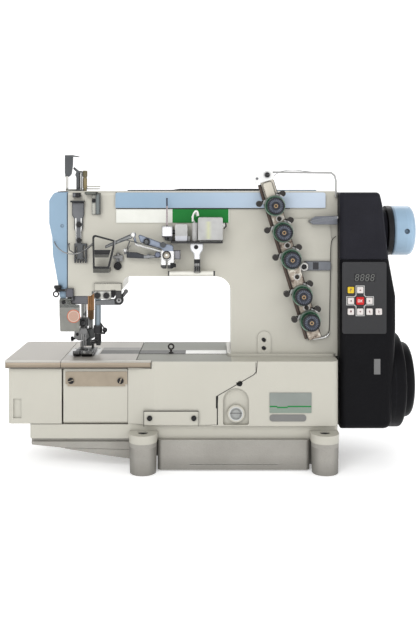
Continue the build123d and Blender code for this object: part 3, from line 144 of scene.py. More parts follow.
class Graph:
    """A node tree with one way to add a node and the textures that the finishes share."""

    def __init__(self, tree, coordinates):
        self.tree = tree
        self.tree.nodes.clear()
        self.place = Value(self, self.node("ShaderNodeTexCoord").outputs[coordinates])

    def node(self, kind, settings=None, sockets=None):
        """Add a node, set its own settings first, then its sockets' numbers or links."""
        node = self.tree.nodes.new(kind)
        for key, value in (settings or {}).items():
            setattr(node, key, value)
        for key, value in (sockets or {}).items():
            if isinstance(value, Value):
                self.tree.links.new(value.socket, node.inputs[key])
            else:
                node.inputs[key].default_value = value
        return node

    def axes(self):
        """X, Y and Z of the place."""
        split = self.node("ShaderNodeSeparateXYZ", sockets={0: self.place})
        return [Value(self, split.outputs[i]) for i in range(3)]

    def stretched(self, stretch):
        """The place scaled along each axis."""
        node = self.node("ShaderNodeVectorMath", {"operation": "MULTIPLY"}, {0: self.place, 1: stretch})
        return Value(self, node.outputs[0])

    def inside(self, x=(None, None), y=(None, None), z=(None, None)):
        """1 within a box whose limits are in millimetres, 0 outside."""
        mask = 1.0
        for value, (low, high) in zip(self.axes(), (x, y, z)):
            if low is not None:
                mask = (value > low * MM) * mask
            if high is not None:
                mask = (value < high * MM) * mask
        return mask

    def away(self, x, z):
        """Distance in millimetres from a line along Y."""
        here, _, up = self.axes()
        return ((here - x * MM) ** 2 + (up - z * MM) ** 2) ** 0.5 * 1000.0

    def around(self, x, z):
        """Angle in radians round a line along Y."""
        here, _, up = self.axes()
        return self._turn(up - z * MM, here - x * MM)

    def _turn(self, rise, run):
        node = self.node("ShaderNodeMath", {"operation": "ARCTAN2"}, {0: rise, 1: run})
        return Value(self, node.outputs[0])

    def noise(self, scale, detail=3.0, roughness=0.55, stretch=None):
        """Noise from 0 to 1 at so many cells to the metre, stretched along an axis if asked."""
        place = self.stretched(stretch) if stretch else self.place
        sockets = {"Vector": place, "Scale": scale, "Detail": detail, "Roughness": roughness}
        return Value(self, self.node("ShaderNodeTexNoise", sockets=sockets).outputs[0])

    def cells(self, scale):
        """Distance to the nearest cell point, for pits and wrinkles."""
        node = self.node("ShaderNodeTexVoronoi", sockets={"Vector": self.place, "Scale": scale})
        return Value(self, node.outputs[0])

    def mix(self, factor, low, high):
        """Blend of two colours, each a tuple or a value."""
        node = self.node("ShaderNodeMix", {"data_type": "RGBA"}, {0: factor})
        for index, colour in ((6, low), (7, high)):
            if isinstance(colour, Value):
                self.tree.links.new(colour.socket, node.inputs[index])
            else:
                node.inputs[index].default_value = (*colour[:3], 1.0)
        return Value(self, node.outputs[2])


class Finish(Graph):
    """One material: a Principled surface whose inputs are numbers, colours or changing values."""

    made = {}

    def __init__(self, name):
        self.material = bpy.data.materials.new(name)
        self.material.use_nodes = True
        super().__init__(self.material.node_tree, "Object")
        self.surface = self.node("ShaderNodeBsdfPrincipled")
        out = self.node("ShaderNodeOutputMaterial")
        self.tree.links.new(self.surface.outputs[0], out.inputs["Surface"])

    def bump(self, height, distance, strength=1.0):
        """Normal from a height, in metres."""
        node = self.node("ShaderNodeBump", sockets={"Height": height, "Distance": distance,
                                                    "Strength": strength})
        return Value(self, node.outputs[0])

    def edge_light_and_wear(self, tone, bare, amount, radius=0.0009):
        """Convex edges in another tone, where a rounded normal leaves the true one: mostly painted highlights
        and painted dark outlines, on a few finishes rubbed edges as well.
        """
        soft = self.node("ShaderNodeBevel", {"samples": 4}, {"Radius": radius})
        true = self.node("ShaderNodeNewGeometry")
        normals = {0: Value(self, soft.outputs[0]), 1: Value(self, true.outputs["Normal"])}
        dot = self.node("ShaderNodeVectorMath", {"operation": "DOT_PRODUCT"}, normals)
        edge = (Value(self, dot.outputs["Value"]) * -1.0 + 1.0) * amount
        return self.mix(edge.clamped(), tone, bare)

    def occlusion_shade(self, tone, dark, reach=0.004, amount=0.8):
        """Painted shade where surfaces nearly meet: corners, joints and the feet of screws."""
        node = self.node("ShaderNodeAmbientOcclusion", {"samples": 6}, {"Distance": reach})
        gain = 1.6
        closed = (1.0 - Value(self, node.outputs["AO"])) * amount * gain
        return self.mix(closed.clamped(), tone, dark)

    def set(self, **inputs):
        """Set Principled inputs, with underscores for the spaces of their names."""
        for key, value in inputs.items():
            socket = self.surface.inputs[key.replace("_", " ")]
            if isinstance(value, Value):
                self.tree.links.new(value.socket, socket)
            elif isinstance(value, tuple):
                socket.default_value = (*value[:3], 1.0)
            else:
                socket.default_value = value
        return self


def shade(colour, amount):
    """A colour made lighter or darker by a factor."""
    return tuple(min(1.0, c * amount) for c in colour[:3])


def settings():
    """The user's colours and sizes."""
    return bpy.context.scene.coverstitch


# Finishes of this machine

def cast_paint(f):
    """Thick enamel on a casting: peel, mottling, blotchy darkening low down, painted highlights on edges,
    painted shade in corners, and the bed's dull deck.
    """
    cream = tuple(settings().cream)
    cloud = f.noise(9.0, 4.0)
    peel = f.noise(420.0, 2.0)
    coarse = f.noise(60.0, 3.0)
    y, z = f.axes()[1:]
    fade = 9.0
    low = (1.0 - z * fade).clamped() * f.noise(35.0, 5.0)
    tone = f.mix(cloud, shade(cream, 0.94), shade(cream, 1.05))
    tone = f.mix(low * 0.35, tone, shade(cream, 0.70))
    deck = f.inside(x=(-150, -3), y=(-75, 76), z=(147.2, 148.4))
    to_back = (y * 16.0 + 0.5).clamped()
    tone = f.mix(deck, tone, f.mix(to_back, (0.33, 0.33, 0.30), (0.27, 0.275, 0.25)))
    # Painted highlights on the edges, then painted shade where surfaces meet
    tone = f.edge_light_and_wear(tone, shade(cream, 1.35), 0.4)
    tone = f.occlusion_shade(tone, shade(cream, 0.4), 0.004, 0.4)
    f.set(Base_Color=tone, Roughness=cloud * 0.14 + peel * 0.10 + deck * 0.3 + 0.26)
    f.set(Coat_Weight=(1.0 - deck) * 0.3, Coat_Roughness=0.2)
    f.set(Normal=f.bump(peel * 0.6 + coarse * 0.4, 0.00035, 0.55))


def blue_paint(f):
    """Smooth satin blue enamel with the faintest peel, a paler painted sheen toward the drive end, painted
    highlights on edges and painted shade in corners.
    """
    blue = tuple(settings().blue)
    cloud = f.noise(14.0, 3.0)
    peel = f.noise(520.0, 2.0)
    x, y, z = f.axes()
    tone = f.mix(cloud, shade(blue, 0.93), shade(blue, 1.05))
    # Painted sheen: the arm's front grows paler toward the drive end
    on_arm = (y * -1000.0 - 35.0).clamped() * ((z - 0.34) * 1000.0).clamped()
    to_drive = ((x + 0.12) * 4.0).clamped()
    tone = f.mix(on_arm * to_drive * 0.8, tone, (0.57, 0.64, 0.74))
    # Painted highlights on the edges, then painted shade where surfaces meet
    tone = f.edge_light_and_wear(tone, (0.62, 0.72, 0.80), 0.5)
    tone = f.occlusion_shade(tone, shade(blue, 0.3), 0.004, 0.8)
    f.set(Base_Color=tone, Roughness=peel * 0.12 + 0.28, Coat_Weight=0.3, Coat_Roughness=0.18)
    f.set(Normal=f.bump(peel, 0.0002, 0.4))


def cast_aluminium(f):
    """Bare sand-cast aluminium: pitted and dull, with painted shade low down and on the sides of the feet,
    and painted highlights on edges.
    """
    cloud = f.noise(22.0, 5.0)
    grain = f.noise(700.0, 3.0)
    pits = f.cells(480.0)
    tone = f.mix(cloud, (0.25, 0.24, 0.215), (0.40, 0.385, 0.355))
    tone = f.mix((grain > 0.62) * 0.35, tone, (0.22, 0.21, 0.19))
    x, _, z = f.axes()
    # Painted shade toward the floor
    fade = 45.0
    tone = f.mix((1.0 - z * fade).clamped() * 0.55, tone, (0.13, 0.125, 0.11))
    # Painted shade on the sides of the round feet
    beside = abs(abs(x) - FOOT_X)
    foot_side_shade = ((beside - 0.009) * 130.0).clamped() * (beside < 0.019)
    tone = f.mix(foot_side_shade * 0.6 * (z < 0.036), tone, (0.15, 0.145, 0.13))
    # Painted highlights on the edges
    tone = f.edge_light_and_wear(tone, (0.72, 0.71, 0.68), 1.2)
    f.set(Base_Color=tone, Metallic=0.45, Roughness=cloud * 0.2 + 0.42)
    f.set(Normal=f.bump(grain * 0.5 + pits * 0.5, 0.0005, 0.6))


def polished_plate(f):
    """Ground steel cloth plate: fine lines, a painted highlight on the front lip, a rolled nose with a
    painted tan reflection and painted shade on its underside, a darker band, and painted shade where parts
    meet.
    """
    lines = f.noise(60.0, 3.0, 0.6, (1.5, 60.0, 60.0))
    smear = f.noise(16.0, 4.0)
    plate = tuple(settings().plate)
    tone = f.mix(smear, shade(plate, 0.85), shade(plate, 1.12))
    x = f.axes()[0]
    to_right = ((x * 1000.0 + 195.0) / 30.0).clamped()
    tone = f.mix(to_right * 0.5, tone, shade(plate, 0.62))
    band = f.inside(x=(-188, None), y=(-24, 26), z=(148.2, None))
    tone = f.mix(band * 0.7, tone, (0.085, 0.085, 0.08))
    # Painted highlight along the front lip
    tone = f.mix(f.inside(y=(None, -70.5), z=(147, None)), tone, (0.62, 0.60, 0.55))
    nose = f.inside(y=(None, -76.2), z=(None, 147.6))
    # Painted tan reflection on the rolled nose
    tan = f.mix(smear, (0.22, 0.18, 0.13), (0.34, 0.285, 0.22))
    tone = f.mix(nose, tone, tan)
    # Painted shade on the underside of the nose
    tone = f.mix(nose * f.inside(z=(None, 141.2)), tone, (0.10, 0.075, 0.05))
    tone = f.occlusion_shade(tone, (0.05, 0.045, 0.04), 0.003, 0.9)
    f.set(Base_Color=tone, Metallic=0.35, Roughness=lines * 0.12 + smear * 0.14 + 0.26)
    f.set(Normal=f.bump(lines, 0.00008, 0.35))


def metal(tone, rough, metallic=0.9):
    """Machined metal of a tone, with faint tool marks, smears and painted highlights on its edges."""
    def build(f):
        marks = f.noise(900.0, 3.0)
        smear = f.noise(60.0, 4.0)
        colour = f.mix(smear, shade(tone, 0.75), shade(tone, 1.2))
        colour = f.edge_light_and_wear(colour, shade(tone, 1.9), 1.2)
        f.set(Base_Color=colour, Metallic=metallic, Roughness=smear * 0.18 + rough)
        f.set(Normal=f.bump(marks, 0.0001, 0.3))
    return build


BLACK = (0.010, 0.010, 0.011)
WHITE = (0.80, 0.80, 0.78)
INK = (0.02, 0.02, 0.022)
PITCH = (0.015, 0.015, 0.015)
DARK = (0.05, 0.052, 0.055)
GREY = (0.22, 0.225, 0.23)
PALE = (0.44, 0.44, 0.40)


def patchwork(base, patches, metallic=0.8, rough=0.28, edge=(0.62, 0.62, 0.60), edged=0.7, wide=0.0009):
    """Metal group of several tones. Each patch is (mask, tone, metallic share), the later ones on top."""
    def build(f):
        marks = f.noise(900.0, 3.0)
        smear = f.noise(70.0, 4.0)
        tone = f.mix(smear, shade(base, 0.75), shade(base, 1.2))
        share = metallic
        for mask, colour, own in patches(f):
            tone = f.mix(mask, tone, f.mix(smear, shade(colour, 0.8), shade(colour, 1.15)))
            share = mask * (own - share) + share
        # A light edge tone gives painted highlights on the edges, a dark one painted dark outlines; then
        # painted shade where surfaces meet
        tone = f.edge_light_and_wear(tone, edge, edged, wide)
        tone = f.occlusion_shade(tone, (0.012, 0.012, 0.012), 0.003, 0.9)
        f.set(Base_Color=tone, Metallic=share, Roughness=smear * 0.18 + rough)
        f.set(Normal=f.bump(marks, 0.0001, 0.3))
    return build


def guide_tones(f):
    """Guide plate, the L bracket and the dark block at the head's top."""
    front = f.inside(y=(None, -39.55))
    return [
        (f.inside(x=(-226.5, -207), z=(362.6, 366)), DARK, 0.8),
        (f.inside(x=(-226.5, -203), z=(None, 305.8)), (0.11, 0.115, 0.12), 0.8),
        (f.inside(x=(-220.2, -218.6), z=(306, 341)), WHITE, 0.6),
        (f.inside(x=(-212.6, -211.2), z=(306, 341)), WHITE, 0.6),
        (front * (f.away(-215.1, 332) < 3.8), BLACK, 0.3),
        (front * (f.away(-215.1, 309.8) < 3.4), BLACK, 0.3),
        (f.inside(x=(-198, -191), z=(346, 374.5)), (0.50, 0.50, 0.45), 0.3),
        (f.inside(x=(-191, -185), z=(345, 374)), (0.17, 0.19, 0.19), 0.7),
        (f.inside(x=(-207, -185), z=(374, 378)), (0.15, 0.16, 0.14), 0.7),
        (f.inside(x=(-198, -191), z=(346, 374), y=(None, -38.1)) * (f.away(-194.6, 365.4) < 2.9), BLACK, 0.3),
        (f.inside(x=(-219.6, -212), z=(369, 376.6)), BLACK, 0.3),
    ]


def post_tones(f):
    """Top plate's rod, the thread post and the brass regulator with its nut."""
    return [
        (f.inside(x=(-237.4, -233.2), z=(None, 399.5)), (0.62, 0.61, 0.58), 0.7),
        (f.inside(x=(-237, -223), z=(None, 381.6)), (0.20, 0.20, 0.16), 0.5),
        (f.inside(x=(-219.6, -217.6), z=(381, 405.2), y=(None, -10)), BLACK, 0.3),
        (f.inside(x=(-217.6, -215.9), z=(381, 405.2)), WHITE, 0.4),
        (f.inside(x=(-214.6, -207.2), z=(None, 398.6)), (0.27, 0.22, 0.12), 0.8),
        (f.inside(x=(-214.9, -207.2), z=(398.6, 409)), (0.20, 0.17, 0.09), 0.8),
        (f.inside(x=(-207.6, -188), z=(381, 386.6)), PALE, 0.8),
    ]


def guard_tones(f):
    """Black guard, its grey lip and foot bar, the wire loop and the thumb screw's bracket."""
    return [
        (f.inside(x=(-192, -170), z=(287.2, 291.2)), (0.07, 0.07, 0.062), 0.2),
        (f.inside(x=(-193.4, -171), z=(None, 271.6)), (0.075, 0.075, 0.065), 0.2),
        (f.inside(x=(None, -196), z=(285, 310)), (0.10, 0.10, 0.10), 0.8),
        (f.inside(x=(-164, -158), z=(279, None)), GREY, 0.6),
    ]


def take_up_tones(f):
    """Bright clamp round a dark ring, slanted blue-grey plate, light rod and grey arms."""
    x, _, z = f.axes()
    fall = 0.268
    slope = abs(z * 1000.0 - 305.0 + (x * 1000.0 + 134.0) * fall) < 1.9
    ring = f.away(-92.0, 290.6)
    screw = f.away(-119.5, 309.0)
    face = f.inside(y=(None, -55.9))
    return [
        (f.inside(x=(None, -141)), (0.30, 0.31, 0.31), 0.7),
        (slope * f.inside(x=(-136, -97)), WHITE, 0.3),
        (f.inside(x=(-142, -136), z=(314, 323)), WHITE, 0.3),
        (f.inside(x=(-81.4, None), z=(280, 300)), (0.26, 0.26, 0.28), 0.8),
        (f.inside(x=(-100.2, -81.4), z=(277, 296)), (0.86, 0.86, 0.85), 0.25),
        (f.inside(x=(-100.2, -81.4), z=(None, 277)), (0.07, 0.07, 0.07), 0.7),
        (f.inside(x=(-87, -78), z=(272, 280)), BLACK, 0.5),
        (face * (ring < 6.0), BLACK, 0.3),
        (face * (ring < 4.4), (0.45, 0.41, 0.34), 0.8),
        (face * (ring < 1.5), WHITE, 0.3),
        (face * (screw < 4.2), BLACK, 0.5),
        (face * (screw < 2.8), (0.20, 0.22, 0.28), 0.8),
    ]


def bracket_tones(f):
    """Base strip, pin block, spoon with its comb, guide rod and the dark wedge bar."""
    x = f.axes()[0]
    teeth = ((x * 2400.0).sine() > 0.0) * 0.8
    return [
        (f.inside(x=(-87, -14), z=(306.8, 309.9)), (0.05, 0.05, 0.05), 0.5),
        (f.inside(x=(-99, -84), z=(314.8, 330.2)), (0.84, 0.84, 0.86), 0.1),
        (f.inside(x=(-99, -84), z=(314.8, 316.6)), (0.06, 0.06, 0.07), 0.4),
        (f.inside(x=(-84, -80), z=(318, 326)), BLACK, 0.3),
        (f.inside(x=(-89.4, -84), z=(309.9, 315)), DARK, 0.4),
        (f.inside(x=(-93.6, -90.2), z=(330.2, 358)), (0.62, 0.52, 0.54), 0.1),
        (f.inside(x=(-93.6, -90.2), z=(358, None)), (0.10, 0.12, 0.17), 0.5),
        (f.inside(x=(-60, -41), z=(285, 307)), (0.80, 0.81, 0.83), 0.35),
        (f.inside(x=(-55, -45), z=(279, 284.4)), BLACK, 0.3),
        (f.inside(x=(-55, -45), z=(268, 279)), (0.34, 0.34, 0.33), 0.6),
        (f.inside(x=(-55, -45), z=(268, 279)) * teeth, (0.08, 0.08, 0.08), 0.6),
        (f.inside(y=(None, -52.9)) * (f.away(-51.5, 301.4) < 3.0), BLACK, 0.3),
        (f.inside(x=(-91, -25), z=(260.5, 268.1)), (0.78, 0.77, 0.70), 0.0),
        (f.inside(x=(-91, -88.6), z=(260.5, 268.1)), DARK, 0.3),
        (f.inside(x=(-27.6, -25), z=(260.5, 268.1)), DARK, 0.3),
        (f.inside(x=(None, -98.8), z=(None, 312)), (0.30, 0.31, 0.32), 0.7),
        (f.inside(x=(-148.4, -124), z=(None, 293.8)), (0.045, 0.048, 0.055), 0.5),
        (f.away(-104.6, 290.6) < 4.5, (0.20, 0.22, 0.29), 0.8),
        (f.away(-149.9, 296.7) < 3.0, WHITE, 0.2),
    ]


def head_bracket_tones(f):
    """Enamelled lifter bracket over its pale face, guard bracket, black thumb knob and brass bush."""
    cream = tuple(settings().cream)
    lifter = f.inside(x=(-195, -155), y=(None, -34.5))
    pale = lifter * f.inside(z=(None, 238.6))
    return [
        (f.inside(x=(None, -233.6)), BLACK, 0.3),
        (f.inside(x=(-233, -222), z=(226, 243)), (0.10, 0.10, 0.115), 0.5),
        (f.inside(x=(-232.4, -203), z=(220, 232), y=(None, -32)), (0.13, 0.13, 0.14), 0.6),
        (lifter * f.inside(z=(239.6, None)), cream, 0.0),
        (lifter * f.inside(z=(238.4, 239.8)), BLACK, 0.2),
        (pale, (0.58, 0.58, 0.54), 0.15),
        (pale * f.inside(x=(-170.4, None)), (0.06, 0.06, 0.06), 0.5),
        (f.inside(y=(None, -38.6)) * (f.away(-189.5, 233) < 4.3), BLACK, 0.3),
        (f.inside(y=(None, -38.6)) * (f.away(-177, 233) < 4.3), BLACK, 0.3),
        (f.inside(x=(-211, -199), z=(205, 232.5), y=(1, 14)), (0.42, 0.22, 0.10), 0.8),
    ]


def lever_tones(f):
    """Black hub ring with a grey centre, dark arm and a greyer handle."""
    hub = f.away(-159.8, 225.7)
    return [
        (f.inside(x=(None, -166)), (0.16, 0.165, 0.17), 0.6),
        (f.inside(x=(-153.5, None)), (0.12, 0.12, 0.12), 0.5),
        (hub < 6.6, BLACK, 0.3),
        (hub < 3.4, (0.38, 0.38, 0.38), 0.8),
        (hub < 1.4, BLACK, 0.3),
    ]


def frame_tones(f):
    """White top plate with a black screw and a hole, bright wire and the grey side rail."""
    return [
        (f.inside(x=(None, 60), z=(385, 415), y=(None, -46.9)), (0.80, 0.80, 0.79), 0.05),
        (f.away(46.75, 401.0) < 3.6, BLACK, 0.3),
        (f.away(32.7, 395.8) < 1.9, (0.16, 0.16, 0.17), 0.5),
        (f.inside(x=(100, 142), z=(330, 350)), (0.16, 0.17, 0.19), 0.5),
    ]


def stations(f, across=0.0, between=False):
    """Distance in millimetres to the nearest tension station, or to the nearest half-way point."""
    spots = [station(n) for n in range(1, 6)]
    if between:
        spots = [((a[0] + b[0]) / 2, (a[1] + b[1]) / 2) for a, b in zip(spots, spots[1:])]
    nearest = f.away(spots[0][0] + across, spots[0][1])
    for x, z in spots[1:]:
        nearest = nearest.smaller(f.away(x + across, z))
    return nearest


def eyelet_tones(f):
    """Black spools on chromed arms."""
    near = stations(f)
    return [(near < 16.8, (0.55, 0.55, 0.54), 0.9), (near > 16.8, (0.018, 0.015, 0.013), 0.2)]


def stack_tones(f):
    """Green passivated discs, and a brass stud with a dark bore in its end."""
    near = stations(f)
    end = f.inside(y=(None, -70))
    cloud = f.noise(180.0, 3.0)
    return [
        (near > 0.0, (0.06, 0.17, 0.10), 0.7),
        ((near > 12.8) * cloud * 1.3, (0.42, 0.55, 0.46), 0.8),
        (end * (near < 3.0), (0.42, 0.27, 0.13), 0.8),
        (end * (near < 1.6), BLACK, 0.0),
    ]


def tension_post_tones(f):
    """Nickelled sheet: tan middle with painted glints and dark reflections, brown flange and dark far edge as
    painted shade, bright top, screws between stations, chromed bracket.
    """
    x, _, z = f.axes()
    right = x * 1000.0 - POST_TOP[0]
    up = z * 1000.0 - POST_TOP[1]
    across = right * math.cos(POST_LEAN) + up * math.sin(POST_LEAN)
    along = right * math.sin(POST_LEAN) - up * math.cos(POST_LEAN)
    cloud = f.noise(150.0, 3.0)
    screw = stations(f, 0.9, True)
    collar = f.away(97.9, 273.9)
    face = f.inside(y=(None, -49.8))
    return [
        # Painted reflections: dark spots and light glints over the sheet
        (((cloud - 0.52) * 9.0).clamped(), (0.13, 0.095, 0.075), 0.5),
        (((0.46 - cloud) * 9.0).clamped(), (0.72, 0.68, 0.60), 0.5),
        (along < 28.0, (0.62, 0.58, 0.50), 0.4),
        # Painted shade along both edges of the sheet
        (across < -9.1, (0.10, 0.07, 0.055), 0.4),
        (across > 8.5, (0.05, 0.04, 0.035), 0.4),
        (face * (screw < 4.6), (0.75, 0.73, 0.70), 0.7),
        (face * (screw < 2.9), (0.05, 0.04, 0.03), 0.4),
        (f.inside(x=(97, None), z=(262, 285)), (0.17, 0.18, 0.20), 0.5),
        (f.inside(x=(111, 119), z=(269.5, 279.5)), (0.03, 0.03, 0.035), 0.3),
        (collar < 6.4, (0.66, 0.65, 0.62), 0.8),
        (collar < 3.6, BLACK, 0.2),
    ]


def knob_face(spot):
    """Glossy black knob with a blue-grey dished face round its collar, painted highlights on its edges and
    painted shade in its hollows.
    """
    def build(f):
        near = f.away(*spot)
        cloud = f.noise(220.0, 2.0)
        tone = f.mix(cloud, (0.006, 0.006, 0.008), (0.016, 0.017, 0.022))
        face = f.inside(y=(None, -73.0)) * (near < 9.6) * (near > 5.3)
        ribs = ((f.around(*spot) * 22.0).sine() * 0.5 + 0.5) * (0.6 + cloud * 0.6)
        tone = f.mix(face, tone, f.mix(ribs.clamped(), (0.022, 0.026, 0.038), (0.15, 0.165, 0.21)))
        tone = f.mix(f.inside(y=(None, -74.0)) * (near < 4.6) * 0.8, tone, (0.03, 0.03, 0.04))
        tone = f.edge_light_and_wear(tone, (0.30, 0.32, 0.36), 0.8)
        tone = f.occlusion_shade(tone, (0.003, 0.003, 0.003), 0.003, 0.8)
        f.set(Base_Color=tone, Roughness=cloud * 0.15 + 0.22, Metallic=face * 0.4, Specular_IOR_Level=0.35)
        f.set(Normal=f.bump(cloud, 0.0001, 0.3))
    return build


def patch(colour, share, **limits):
    """One patch in a box with the given limits."""
    return lambda f: [(f.inside(**limits), colour, share)]


def blotches(scale, above, colour, share):
    """Patches wherever a noise is high."""
    return lambda f: [(f.noise(scale, 2.0) > above, colour, share)]


# A dark edge tone below gives painted dark outlines on the edges; the default light one gives painted
# highlights
METALS = {
    "head guides": patchwork((0.16, 0.165, 0.175), guide_tones, edge=INK, edged=6.0, wide=0.0026),
    "head posts": patchwork((0.075, 0.08, 0.085), post_tones, 0.3),
    "guard black": patchwork(BLACK, guard_tones, 0.2),
    "take up": patchwork((0.28, 0.32, 0.40), take_up_tones,
                         edge=(0.015, 0.015, 0.017), edged=7.0, wide=0.003),
    "arm brackets": patchwork(PALE, bracket_tones, edge=INK, edged=7.0, wide=0.003),
    "head brackets": patchwork((0.10, 0.10, 0.105), head_bracket_tones, 0.5,
                               edge=PITCH, edged=5.0, wide=0.0024),
    "lifter": patchwork(DARK, lever_tones, 0.4, edge=PITCH, edged=3.0, wide=0.0014),
    "thread frame": patchwork((0.42, 0.42, 0.41), frame_tones),
    "eyelets": patchwork(BLACK, eyelet_tones, 0.2),
    "stacks": patchwork((0.06, 0.17, 0.10), stack_tones),
    "slide strips": patchwork((0.07, 0.07, 0.066), patch((0.88, 0.88, 0.86), 0.0, x=(-67, None)), 0.3, 0.4),
    "tension post": patchwork((0.40, 0.34, 0.28), tension_post_tones, 0.5,
                              edge=(0.025, 0.02, 0.016), edged=6.0, wide=0.0022),
    "spreader": patchwork((0.24, 0.29, 0.33), patch(INK, 0.4, z=(None, 187.2))),
    "needle bar": patchwork((0.34, 0.34, 0.33), blotches(40.0, 0.55, (0.10, 0.10, 0.10), 0.8)),
    "presser bar": patchwork((0.34, 0.34, 0.33), patch((0.10, 0.105, 0.105), 0.5, z=(None, 181))),
    "needle clamp": patchwork((0.06, 0.062, 0.064), patch((0.5, 0.5, 0.5), 0.9, z=(None, 181.5)), 0.5),
    "presser foot": patchwork((0.07, 0.07, 0.07), blotches(260.0, 0.56, (0.20, 0.20, 0.19), 0.8), 0.5),
    "machined steel": metal((0.42, 0.42, 0.41), 0.24),
    "bright steel": metal((0.70, 0.70, 0.69), 0.12),
    "dark steel": metal((0.10, 0.105, 0.11), 0.30),
    "grey steel": metal((0.24, 0.24, 0.24), 0.32),
    "tan plate": metal((0.33, 0.28, 0.215), 0.42, 0.35),
}


def black_oxide(f):
    """Blackened screw steel, rubbed brighter in specks, and brighter along its edges as rubbed steel with a
    painted highlight.
    """
    specks = f.noise(1500.0, 3.0)
    tone = f.mix((specks > 0.63) * 0.5, (0.010, 0.010, 0.011), (0.04, 0.04, 0.04))
    tone = f.edge_light_and_wear(tone, (0.12, 0.12, 0.12), 1.0)
    f.set(Base_Color=tone, Metallic=0.4, Roughness=specks * 0.2 + 0.32, Specular_IOR_Level=0.35)
    f.set(Normal=f.bump(specks, 0.0001, 0.4))


def wrinkle_black(f):
    """Black textured paint on the motor housing, duller and paler on its upper half, with painted highlights
    along its edges.
    """
    black = tuple(settings().black)
    grain = f.cells(900.0)
    cloud = f.noise(10.0, 3.0)
    streak = f.noise(26.0, 4.0)
    z = f.axes()[2]
    upper = (z * 1000.0 - 285.0).clamped()
    tone = f.mix(cloud, shade(black, 0.45), shade(black, 1.0))
    tone = f.mix(upper * (streak * 0.5 + 0.35), tone, shade(black, 5.0))
    # Painted highlights along the edges
    tone = f.edge_light_and_wear(tone, shade(black, 9.0), 0.8)
    f.set(Base_Color=tone, Roughness=grain * 0.2 + upper * 0.1 + 0.36, Specular_IOR_Level=0.10)
    f.set(Normal=f.bump(grain, 0.00025, 0.5))


def panel_film(f):
    """Dark grey printed film, lighter toward its top left, with a soft texture."""
    z = f.axes()[2]
    grain = f.noise(1400.0, 2.0)
    lift = (z * 6.0 - 1.1).clamped() * 0.5
    tone = f.mix(lift, (0.024, 0.024, 0.026), (0.040, 0.041, 0.044))
    f.set(Base_Color=tone, Roughness=grain * 0.12 + 0.42, Specular_IOR_Level=0.3)
    f.set(Normal=f.bump(grain, 0.00008, 0.4))


def white_enamel(f):
    """White enamel with faint yellowing."""
    cloud = f.noise(30.0, 4.0)
    peel = f.noise(500.0, 2.0)
    f.set(Base_Color=f.mix(cloud, (0.66, 0.65, 0.62), (0.80, 0.80, 0.78)), Roughness=peel * 0.12 + 0.24)
    f.set(Coat_Weight=0.3, Normal=f.bump(peel, 0.00015, 0.3))


def clear_plastic(f):
    """Milky clear plastic of the oil boxes: a yellow-green painted highlight streak and a dark foot on the
    big one, painted highlights on edges, painted shade where parts meet.
    """
    haze = f.noise(60.0, 2.0)
    scratches = f.noise(120.0, 2.0, 0.5, (1.0, 40.0, 12.0))
    graze = f.node("ShaderNodeLayerWeight", sockets={"Blend": 0.35})
    rim = Value(f, graze.outputs["Facing"])
    tone = f.mix(haze, (0.50, 0.50, 0.49), (0.66, 0.66, 0.65))
    x = f.axes()[0]
    # Painted highlight: a yellow-green streak down the big box
    streak = (1.0 - abs(x * 1000.0 + 34.4) / 5.0).clamped() * f.inside(z=(313, 337))
    tone = f.mix(streak * 0.8, tone, (0.72, 0.74, 0.46))
    tone = f.mix(f.inside(x=(-49, -14), z=(None, 311.6)), tone, (0.05, 0.05, 0.045))
    tone = f.mix(f.inside(x=(None, -63), z=(None, 317)), tone, (0.70, 0.71, 0.76))
    tone = f.edge_light_and_wear(tone, (0.95, 0.95, 0.95), 1.0)
    tone = f.occlusion_shade(tone, (0.16, 0.16, 0.15), 0.002, 0.6)
    f.set(Base_Color=tone, Alpha=(haze * 0.15 + rim * 0.4 + 0.58).clamped(), IOR=PLASTIC_IOR)
    f.set(Roughness=scratches * 0.25 + 0.08)
    f.set(Coat_Weight=0.5, Coat_Roughness=0.05, Normal=f.bump(scratches, 0.0001, 0.3))


def guard_plastic(f):
    """Smoke-grey clear plastic of the finger guard, darker over its upper part, with painted highlights on
    its edges.
    """
    haze = f.noise(160.0, 4.0)
    broad = f.noise(45.0, 2.0)
    tone = f.mix(broad, (0.12, 0.12, 0.105), (0.24, 0.24, 0.21))
    tone = f.mix(f.inside(z=(216, None)), tone, (0.06, 0.065, 0.055))
    tone = f.edge_light_and_wear(tone, (0.55, 0.55, 0.5), 0.8)
    f.set(Base_Color=tone, Alpha=haze * 0.15 + 0.74, Roughness=haze * 0.2 + 0.12, IOR=PLASTIC_IOR)
    f.set(Coat_Weight=0.5, Coat_Roughness=0.08, Normal=f.bump(haze, 0.0001, 0.3))


